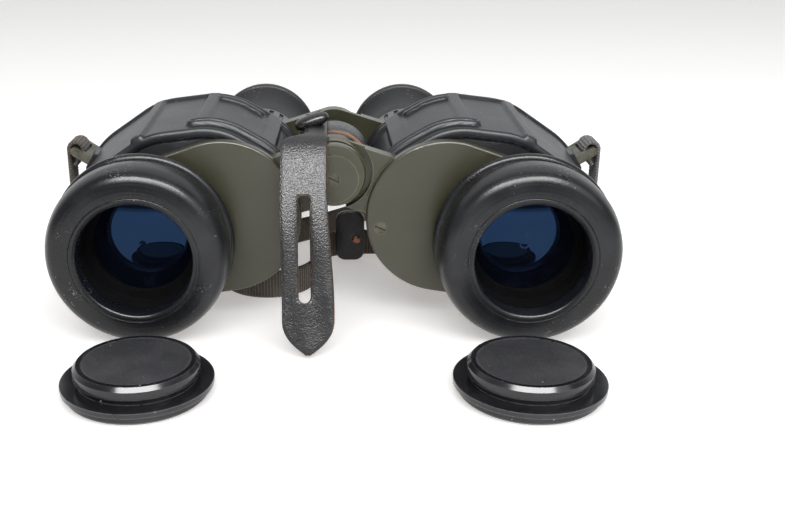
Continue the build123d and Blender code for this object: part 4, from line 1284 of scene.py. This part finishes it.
@dataclass
class LeatherTab:
    """Leather button tab that hangs over the hinge, with the band and roll behind it."""

    line: tuple = ((62.0, 75.6), (46.0, 74.9), (31.0, 74.8), (25.8, 73.5), (21.8, 70.2),
                   (17.6, 64.6), (13.4, 58.2), (9.3, 50.5), (5.5, 41.0), (0.9, 27.0), (-3.9, 13.0),
                   (-8.2, 1.3))
    left: float = -20.0
    width: float = 17.6
    left_drift: float = 0.9
    right_drift: float = 2.8
    tip_length: float = 14.0
    tip_z: float = 1.3
    neck_left: float = -9.5
    thickness: float = 1.9
    slot_width: float = 4.4
    slot_low: float = 19.4
    slot_high: float = 56.7
    band_y: tuple = (42.4, 58.0)
    band_radius: float = 12.2
    roll_start: Point = (-15.2, 45.5, 74.6)
    roll_end: Point = (-2.0, 45.0, 79.4)
    roll_half_width: float = 3.9
    roll_half_height: float = 2.7
    steps: int = 150
    dense_parts: int = 8
    dense_reach: float = 3.5

    def half_slot(self, z: float) -> float:
        """Half width of the button slot at this height."""
        half = self.slot_width / 2
        low, high = self.slot_low + half, self.slot_high - half
        if low <= z <= high:
            return half
        off = low - z if z < low else z - high
        return math.sqrt(max(0.0, half * half - off * off))

    def edges(self, y: float, z: float) -> tuple[float, float]:
        """Left and right edge of the tab where its middle line passes this place.

        Args:
            y: Place along the binoculars.
            z: Height over the table.

        Returns:
            X of both edges.
        """
        spread = smooth_step(60.0 - z, 0.0, 45.0)
        left = self.left + self.left_drift * spread
        right = self.left + self.width + self.right_drift * spread
        left += (self.neck_left - left) * smooth_step(y, 24.5, 33.0)
        if z < self.tip_length:
            share = 1 - 0.92 * ((self.tip_length - z) / (self.tip_length - self.tip_z)) ** 2.4
            middle, half = (left + right) / 2, (right - left) / 2
            left, right = middle - half * share, middle + half * share
        return left, right

    def middle(self, z: float) -> float:
        """Where the slot's middle lies across the tab."""
        return self.left + self.width / 2 + 0.5 * smooth_step(60.0 - z, 0.0, 45.0)

    @staticmethod
    def cut_slope(block: int, column: int, last: int, half: float, z: float) -> float:
        """How far the outer face draws back from a cut edge, so that the raw edge shows.

        Args:
            block: 0 left of the slot, 1 right of it.
            column: Number of the corner across the block.
            last: Number of the block's last corner.
            half: Half width of the slot here.
            z: Height over the table.

        Returns:
            Millimetres to the right.
        """
        at_slot = (block == 0 and column == last) or (block == 1 and column == 0)
        if at_slot:
            return (-0.8 if block == 0 else 0.8) * min(1.0, half / 1.2)
        if block == 1 and column == last:
            return -0.25 - 0.75 * smooth_step(z, 56.0, 67.0)
        return 0.0

    def rows(self) -> list[tuple[float, float, float, float]]:
        """(y, z, ny, nz) down the middle of the leather, closer together round the slot's ends."""
        line = smooth_line(self.line, 40)
        run = [0.0]
        for a, b in zip(line, line[1:]):
            run.append(run[-1] + math.dist(a, b))
        ends = [run[min(range(len(line)), key=lambda k: abs(line[k][1] - z))]
                for z in (self.slot_low, self.slot_high)]
        step = run[-1] / self.steps
        spots = []
        for i in range(self.steps):
            near_end = min(abs(step * i - end) for end in ends) < self.dense_reach
            parts = self.dense_parts if near_end else 1
            spots += [step * (i + k / parts) for k in range(parts)]
        places = []
        for spot in spots + [run[-1]]:
            j = next(k for k in range(1, len(run)) if run[k] >= spot - 1e-9)
            t = (spot - run[j - 1]) / max(run[j] - run[j - 1], 1e-9)
            a, b = line[j - 1], line[j]
            dy, dz = b[0] - a[0], b[1] - a[1]
            size = math.hypot(dy, dz)
            places.append((a[0] + t * dy, a[1] + t * dz, dz / size, -dy / size))
        return places

    def build(self, palette: Palette) -> None:
        """Model the tab, its band and the roll."""
        self.build_tab(palette)
        self.build_band(palette)
        self.build_roll(palette)

    def build_tab(self, palette: Palette) -> None:
        """One leather skin with a slot, eased at its cut edges."""
        rows = self.rows()
        across = 14
        points: list[Point] = []
        faces: list[tuple[int, ...]] = []
        kinds: list[int] = []
        count = 2 * (across + 1)
        slots = []
        for y, z, ny, nz in rows:
            left, right = self.edges(y, z)
            middle = self.middle(z)
            half = self.half_slot(z)
            slots.append(half)
            for block, (start, end) in enumerate(((left, middle - half), (middle + half, right))):
                for j in range(across + 1):
                    t = j / across
                    eased = t - 0.11 * math.sin(2 * math.pi * t)
                    x = start + (end - start) * eased
                    border = min(x - left, right - x, abs(x - middle) - half if half > 0.4 else 9.0,
                                 z - 1.2)
                    full = self.thickness / 2 * (0.66 + 0.34 * smooth_step(border, 0.0, 1.3))
                    wave = 0.28 * math.sin(0.55 * x + 0.11 * z) * smooth_step(60 - z, 0.0, 20.0)
                    wave += 0.5 * ((x - middle) / 10) ** 2 * smooth_step(58 - z, 0.0, 20.0)
                    for sign in (-1, 1):
                        off = wave + sign * full
                        cut = self.cut_slope(block, j, across, half, z) if sign > 0 else 0.0
                        points.append(LAYOUT.row(x + cut, y + ny * off, z + nz * off))
        width = 2 * count

        def corner(i: int, block: int, j: int, side: int) -> int:
            """Number of one grid corner."""
            return i * width + (block * (across + 1) + j) * 2 + side

        for i in range(len(rows) - 1):
            for block in (0, 1):
                for j in range(across):
                    for side in (0, 1):
                        quad = (corner(i, block, j, side), corner(i, block, j + 1, side),
                                corner(i + 1, block, j + 1, side), corner(i + 1, block, j, side))
                        faces.append(quad)
                        kinds.append(0)
            open_here = slots[i] > 1e-6 or slots[i + 1] > 1e-6
            rims = [(0, 0), (1, across)] + ([(0, across), (1, 0)] if open_here else [])
            for block, j in rims:
                faces.append((corner(i, block, j, 0), corner(i, block, j, 1),
                              corner(i + 1, block, j, 1), corner(i + 1, block, j, 0)))
                kinds.append(1)
        for i in (0, len(rows) - 1):
            for block in (0, 1):
                for j in range(across):
                    faces.append((corner(i, block, j, 0), corner(i, block, j, 1),
                                  corner(i, block, j + 1, 1), corner(i, block, j + 1, 0)))
                    kinds.append(1)
        piece = make_piece("leather_tab_strip", points, faces, slots=kinds)
        piece.data.materials.append(palette.leather)
        piece.data.materials.append(palette.raw_edge)
        settle(piece, palette.leather, "left_half", ["leather_tab"])

    def build_band(self, palette: Palette) -> None:
        """Leather band round the hinge, its edges raw."""
        low, high = self.band_y
        inner, outer = self.band_radius, self.band_radius + self.thickness
        count = 120
        outline = [(inner, low + 0.2), (inner + 0.2, low), (outer - 0.5, low),
                   (outer - 0.15, low + 0.15), (outer, low + 0.5), (outer, (low + high) / 2),
                   (outer, high - 0.5),
                   (outer - 0.15, high - 0.15), (outer - 0.5, high), (inner + 0.2, high),
                   (inner, high - 0.2)]
        points, faces, kinds = [], [], []
        for i in range(count):
            angle = 2 * math.pi * i / count
            sag = 0.12 * math.sin(2 * angle + 0.6)
            for radius, y in outline:
                r = radius + sag
                points.append(LAYOUT.row(r * math.cos(angle), y,
                                         LAYOUT.hinge_z + r * math.sin(angle)))
        size = len(outline)
        for i in range(count):
            a, b = i * size, ((i + 1) % count) * size
            for j in range(size):
                k = (j + 1) % size
                faces.append((a + j, a + k, b + k, b + j))
                kinds.append(1 if j in (0, 1, 8, 9) else 0)
        piece = make_piece("leather_band", points, faces, slots=kinds)
        piece.data.materials.append(palette.leather)
        piece.data.materials.append(palette.raw_edge)
        settle(piece, palette.leather, "left_half")

    def build_roll(self, palette: Palette) -> None:
        """Glossy rolled loop on top of the tab."""
        points, faces = [], []
        around, along = 40, 36
        start, end = Vector(self.roll_start), Vector(self.roll_end)
        axis = (end - start).normalized()
        up = axis.cross(Vector((0.0, 1.0, 0.0))).normalized() * -1
        side = axis.cross(up)
        for i in range(along + 1):
            t = i / along
            swell = math.sqrt(max(0.0, 1 - (2 * t - 1) ** 4))
            swell *= 0.88 + 0.12 * math.sin(math.pi * t)
            centre = start.lerp(end, t)
            for j in range(around):
                angle = 2 * math.pi * j / around
                place = centre + swell * (self.roll_half_width * math.cos(angle) * side
                                          + self.roll_half_height * math.sin(angle) * up)
                points.append(LAYOUT.row(*place))
        for i in range(along):
            for j in range(around):
                k = (j + 1) % around
                faces.append((i * around + j, i * around + k, (i + 1) * around + k,
                              (i + 1) * around + j))
        piece = make_piece("leather_roll", points, faces)
        settle(piece, palette.glossy_leather, "left_half")


@dataclass
class StrapEnds:
    """Webbing folded round each lug's bar and sewn to itself."""

    bar_gap: float = 1.6 + 0.5
    webbing: float = 1.7
    width: float = 12.0
    tail: float = 16.0
    rib_pitch: float = 1.25

    def bar(self) -> tuple[float, float]:
        """X and Z of the right-hand lug's bar."""
        angle = math.radians(LAYOUT.lug_angle)
        return (LAYOUT.objective_x + LAYOUT.lug_reach * math.cos(angle),
                LAYOUT.objective_z + LAYOUT.lug_reach * math.sin(angle))

    def build(self, palette: Palette) -> None:
        """Fold the webbing on both sides."""
        for side in Side:
            self.build_fold(side, palette)

    def build_fold(self, side: Side, palette: Palette) -> None:
        """Both layers of the fold as one closed skin with webbing coordinates."""
        bx, bz = self.bar()
        middle = self.bar_gap + self.webbing / 2
        drop = self.tail
        # outer layer hangs from the bar's far side, inner layer comes back up against it
        line = [(bx + middle, bz - drop)]
        line += [(bx + middle, bz - drop + drop * i / 8) for i in range(1, 9)]
        line += [(bx + middle * math.cos(a), bz + middle * math.sin(a))
                 for a in [math.radians(d) for d in range(15, 226, 15)]]
        back = middle * math.cos(math.radians(225))
        line += [(bx + back + 0.55 * (middle - back) * t - 0.1,
                  bz + middle * math.sin(math.radians(225)) - 4.6 * t) for t in (0.35, 0.7, 1.0)]
        line = smooth_line(line, 3)
        rows, run = [], 0.0
        runs = []
        columns = 16
        for i, (x, z) in enumerate(line):
            before, after = line[max(i - 1, 0)], line[min(i + 1, len(line) - 1)]
            tx, tz = after[0] - before[0], after[1] - before[1]
            size = math.hypot(tx, tz)
            nx, nz = tz / size, -tx / size
            if i:
                run += math.dist(line[i - 1], line[i])
            runs.append(run)
            row = []
            rib = 0.10 * math.sin(2 * math.pi * run / self.rib_pitch)
            for j in range(columns + 1):
                y = LAYOUT.lug_y - self.width / 2 + self.width * j / columns
                border = min(j, columns - j) / columns * self.width
                half = (self.webbing / 2) * (0.55 + 0.45 * smooth_step(border, 0.0, 1.0)) + rib
                row.append((LAYOUT.row(side.value * (x + nx * half), y, z + nz * half),
                            LAYOUT.row(side.value * (x - nx * half), y, z - nz * half)))
            rows.append(row)
        piece = closed_sheet(f"strap_fold_{side.word}", rows)
        self.measure(piece, side, line, runs)
        finish = palette.faded_webbing if side is Side.RIGHT else palette.webbing
        settle(piece, finish, side.body, [f"strap_end_loop_{side.word}"])

    def measure(self, piece: bpy.types.Object, side: Side, line: list, runs: list) -> None:
        """Store how far along and across the webbing each corner is.

        Args:
            piece: The fold.
            side: Its half.
            line: The fold's middle line as (x, z) in millimetres, on the right-hand half.
            runs: How far along it each of those points is.
        """
        run = piece.data.attributes.new("run", "FLOAT", "POINT")
        across = piece.data.attributes.new("across", "FLOAT", "POINT")
        for corner in piece.data.vertices:
            x, z = side.value * corner.co.x / MM, corner.co.z / MM
            near = min(range(len(line)),
                       key=lambda i: (line[i][0] - x) ** 2 + (line[i][1] - z) ** 2)
            run.data[corner.index].value = runs[near] * MM
            across.data[corner.index].value = corner.co.y - LAYOUT.row(0, LAYOUT.lug_y, 0)[1]


@dataclass
class NeckStrap:
    """Limp flat webbing standing on its edge, from one lug round to the other."""

    height: float = 6.2
    width: float = 0.012
    thickness: float = 0.0017
    start: tuple = (-110.963, 79.0, 41.82)
    left_drop: tuple = ((-111.0, 80.0, 30.0), (-111.2, 86.0, 19.0), (-111.6, 98.0, 10.0))
    floor: tuple = (
        (-112.0, 116.0), (-109.8, 142.0), (-108.3, 170.0), (-108.1, 196.7), (-94.3, 210.5),
        (-74.9, 210.5), (-61.1, 196.7), (-60.3, 174.0), (-60.5, 148.6), (-48.7, 136.8),
        (-31.9, 136.8), (-20.1, 148.6), (-19.2, 172.0), (-19.0, 196.2), (-6.0, 209.2),
        (12.4, 209.2), (25.4, 196.2), (24.5, 174.0), (16.0, 153.0), (0.5, 135.0),
        (-18.0, 120.5), (-35.0, 105.5), (-46.4, 86.0), (-47.2, 62.2), (-35.9, 50.9),
        (-20.0, 50.9), (-8.8, 62.2), (-8.7, 77.0), (-9.0, 91.0), (-3.9, 99.8), (4.9, 104.9),
        (21.5, 105.1), (38.0, 107.5), (55.0, 114.0), (62.5, 116.4), (79.0, 119.0))
    right_rise: tuple = ((96.0, 115.5, 6.6), (107.0, 103.5, 10.0), (111.3, 88.5, 18.5),
                         (111.0, 80.0, 30.0))
    end: tuple = (110.963, 79.0, 41.82)

    def build(self, palette: Palette) -> None:
        route = [self.start, *self.left_drop, *((x, y, self.height) for x, y in self.floor),
                 *self.right_rise, self.end]
        route = [LAYOUT.row(*point) for point in route]
        line = spline("neck_strap_line", route)
        path = curve_points(line)
        line.name = "neck_strap_webbing"
        piece = run_tree(line, SHOP.ribbon(), Width=self.width, Thickness=self.thickness,
                         Material=palette.webbing)
        settle(piece, palette.webbing, None, ["neck_strap", "neck_strap_end"])
        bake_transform(piece)
        length = sum(math.dist(a, b) for a, b in zip(path, path[1:]))
        LOG.info("strap path %d points, %.4f m", len(path), length)


@dataclass
class StrapFitting:
    """Leather end piece riveted to the webbing behind the hinge."""

    x: float = 7.5
    rear_y: float = 98.8
    low: float = 0.2
    width: float = 13.0
    height: float = 23.5
    thickness: float = 2.6
    rivet_radius: float = 1.9
    seat_gap: float = 0.02

    def build(self, palette: Palette) -> None:
        """Model the leather plate and its copper rivet."""
        radius = self.width / 3
        ring = []
        for cx, cz, start in ((1, 1, 0), (-1, 1, 90), (-1, -1, 180), (1, -1, 270)):
            for i in range(9):
                a = math.radians(start + 90 * i / 8)
                ring.append(((self.width / 2 - radius) * cx + radius * math.cos(a),
                             (self.height / 2 - radius) * cz + radius * math.sin(a)))
        middle_z = self.low + self.height / 2
        front = self.rear_y - self.thickness
        layers = [(0.0, 0.0), (0.93, 0.0), (0.985, 0.35), (1.0, 0.9),
                  (1.0, self.thickness - 0.5), (0.97, self.thickness), (0.0, self.thickness)]
        points, faces = [], []
        for scale, depth in layers:
            for px, pz in ring:
                points.append(LAYOUT.row(self.x + px * scale, front + depth, middle_z + pz * scale))
        size = len(ring)
        for i in range(len(layers) - 1):
            for j in range(size):
                k = (j + 1) % size
                faces.append((i * size + j, i * size + k, (i + 1) * size + k, (i + 1) * size + j))
        plate = make_piece("strap_end_piece", points, faces)
        settle(plate, palette.leather, "left_half", ["strap_fitting"])
        rivet_x, rivet_z = self.x + 0.22 * self.width, self.low + 0.43 * self.height
        dome = [(0.0, -0.95), (0.7, -0.88), (1.3, -0.68), (1.75, -0.36),
                (self.rivet_radius, -0.08)]
        seat = front - self.seat_gap
        profile = [(r, front + y) for r, y in smooth_line(dome, 4)]
        profile += [(self.rivet_radius, seat), (0.0, seat)]
        rivet = lathe("strap_rivet_head", profile, (rivet_x, rivet_z), 48)
        settle(rivet, palette.copper, "left_half", ["strap_rivet"])


# ------------------------------------------------------------------ CAD nodes kept
@dataclass(frozen=True)
class KeptNodes:
    """Finish of every CAD node that stays as it is."""

    finishes: tuple = (
        ("front_cover", "olive"), ("rear_cover", "olive"), ("front_arm", "olive"),
        ("rear_arm", "olive"), ("hinge_front_disc", "olive"), ("hinge_rear_disc", "olive"),
        ("hinge_axle", "dark_steel"), ("hinge_spacer", "black"), ("hinge_screw", "dark_steel"),
        ("cover_screw", "dark_steel"), ("prism_housing", "black"), ("prism_shelf", "black"),
        ("front_prism", "prism_glass"), ("rear_prism", "prism_glass"),
        ("objective_tube", "anodised"), ("objective_retainer", "anodised"),
        ("objective_lens", "coated_lens"), ("eyepiece_sleeve", "black"),
        ("eyepiece_barrel", "black"), ("focus_ring", "black"), ("eye_lens", "coated_lens"),
        ("reticle_glass", "clear_glass"), ("strap_lug", "dark_steel"), ("objective_cap", "cap"),
        ("cap_inlay", "cap_inlay"))

    def dress(self, palette: Palette) -> None:
        """Set each kept node's finish."""
        for node in sorted(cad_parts):
            for start, finish in self.finishes:
                if node.startswith(start) and node in bpy.data.objects:
                    piece = bpy.data.objects[node]
                    piece.data.materials.clear()
                    piece.data.materials.append(getattr(palette, finish))
                    LOG.info("%s: %s", node, finish)
                    break


# ------------------------------------------------------------------ studio
@dataclass(frozen=True)
class Studio:
    """Pale table, soft light and the camera in front of the objectives."""

    floor_size: float = 8.0
    floor_drop: float = 0.0002
    floor_light: Colour = (1.0, 0.965, 0.93)
    room_light: Colour = (0.97, 0.985, 1.0)
    glow: float = 0.39
    front_glow: float = 0.22
    horizon: float = 0.68
    ambient: float = 0.40
    far_glow: float = 0.25
    lens: float = 48.15
    shift_x: float = 0.0749
    place: Point = (0.0, -0.4041, 0.168)
    tilt: float = 69.7

    def build(self) -> None:
        """Set up the floor, the light and the camera."""
        self.build_floor()
        self.build_light()
        self.build_camera()
        bpy.context.scene.view_settings.view_transform = "Standard"

    def build_floor(self) -> None:
        """A large pale table top that glows with painted light, glowing less and painted slightly
        darker further back.
        """
        half = self.floor_size / 2
        low = -self.floor_drop
        floor = make_piece("table_top", [(-half, -half, low), (half, -half, low),
                                         (half, half, low), (-half, half, low)], [(0, 1, 2, 3)])
        material = bpy.data.materials.new("table_white")
        material.use_nodes = True
        wires = Wiring(material.node_tree)
        shader = material.node_tree.nodes["Principled BSDF"]
        shader.inputs["Roughness"].default_value = 0.6
        shader.inputs["Specular IOR Level"].default_value = 0.2
        shader.inputs["Emission Color"].default_value = (*self.floor_light, 1.0)
        part = wires.node("ShaderNodeSeparateXYZ", None, Vector=wires.object_place())
        # painted light: the table glows so shadows stay light, and glows less and is painted darker
        # further back as painted falloff
        far = wires.ramp(part.outputs[1], -0.1, 1.1)
        wires.feed(shader.inputs["Base Color"], wires.blend(far, (0.90,) * 3, (0.88,) * 3))
        wires.feed(shader.inputs["Emission Strength"], wires.span(far, self.glow, self.far_glow))
        floor.data.materials.append(material)

    def build_light(self) -> None:
        """White surroundings with soft light from above, from the right and from the front."""
        world = bpy.data.worlds.new("white_room")
        bpy.context.scene.world = world
        world.use_nodes = True
        wires = Wiring(world.node_tree)
        backdrop = world.node_tree.nodes["Background"]
        backdrop.inputs["Color"].default_value = (*self.room_light, 1.0)
        toward = wires.node("ShaderNodeSeparateXYZ", None, Vector=wires.object_place())
        behind = wires.ramp(toward.outputs[1], -0.1, 0.7)
        shown = wires.span(behind, self.front_glow, 1.0)
        kind = wires.node("ShaderNodeLightPath")
        plain = wires.math("MAXIMUM", kind.outputs["Is Transmission Ray"], wires.math(
            "MULTIPLY", kind.outputs["Is Camera Ray"], self.horizon))
        mirrored = wires.math("MULTIPLY", kind.outputs["Is Glossy Ray"], shown)
        soft = wires.math("MULTIPLY", kind.outputs["Is Diffuse Ray"], self.ambient)
        wires.feed(backdrop.inputs["Strength"],
                   wires.math("ADD", plain, wires.math("ADD", mirrored, soft)))
        self.add_lamp("overhead", (0.0, 0.30, 1.5), (0.0, 0.02, 0.0), 1.5, 3.0)
        self.add_lamp("front_right", (1.2, -0.9, 0.9), (0.03, 0.0, 0.03), 0.9, 4.0)
        aim = (0.0, 0.0, 0.04)
        self.add_lamp("front_box", (0.05, -0.88, 0.93), aim, 1.3, 13.0, depth=0.6)
        shine = self.add_lamp("front_shine", (0.05, -0.72, 1.02), aim, 1.3, 27.0, depth=0.42)
        shine.visible_diffuse = False

    @staticmethod
    def add_lamp(name: str, place: Point, target: Point, size: float, power: float,
                 depth: Optional[float] = None) -> bpy.types.Object:
        """Hang one soft rectangular lamp that faces a target.

        Args:
            name: Name of the lamp.
            place: Where it hangs, in metres.
            target: What it faces.
            size: Its width in metres.
            power: Its power in watts.
            depth: Its other side in metres, as its width where left out.

        Returns:
            The lamp's object.
        """
        lamp = bpy.data.lights.new(name, "AREA")
        lamp.shape = "RECTANGLE"
        lamp.size = size
        lamp.size_y = depth or size
        lamp.energy = power
        holder = bpy.data.objects.new(name, lamp)
        holder.location = place
        holder.rotation_euler = (Vector(target) - Vector(place)).to_track_quat("-Z", "Y").to_euler()
        bpy.context.scene.collection.objects.link(holder)
        return holder

    def build_camera(self) -> None:
        """Stand the camera in front, looking down at the objectives."""
        lens = bpy.data.cameras.new("front_view")
        lens.lens = self.lens
        lens.sensor_width = 36.0
        lens.shift_x = self.shift_x
        lens.clip_start = 0.01
        lens.clip_end = 30.0
        holder = bpy.data.objects.new("front_view", lens)
        holder.location = self.place
        holder.rotation_euler = (math.radians(self.tilt), 0.0, 0.0)
        bpy.context.scene.collection.objects.link(holder)
        bpy.context.scene.camera = holder


def main() -> None:
    """Build the binoculars' looks from front to back, then the room."""
    logging.basicConfig(level=logging.INFO, format="%(message)s")
    palette = Palette()
    KeptNodes().dress(palette)
    for side in Side:
        ObjectiveRing(side).build(palette)
        Armour(side).build(palette)
        Eyecup(side).build(palette)
    LeatherTab().build(palette)
    StrapEnds().build(palette)
    StrapFitting().build(palette)
    NeckStrap().build(palette)
    Studio().build()


if __name__ == "__main__":
    main()
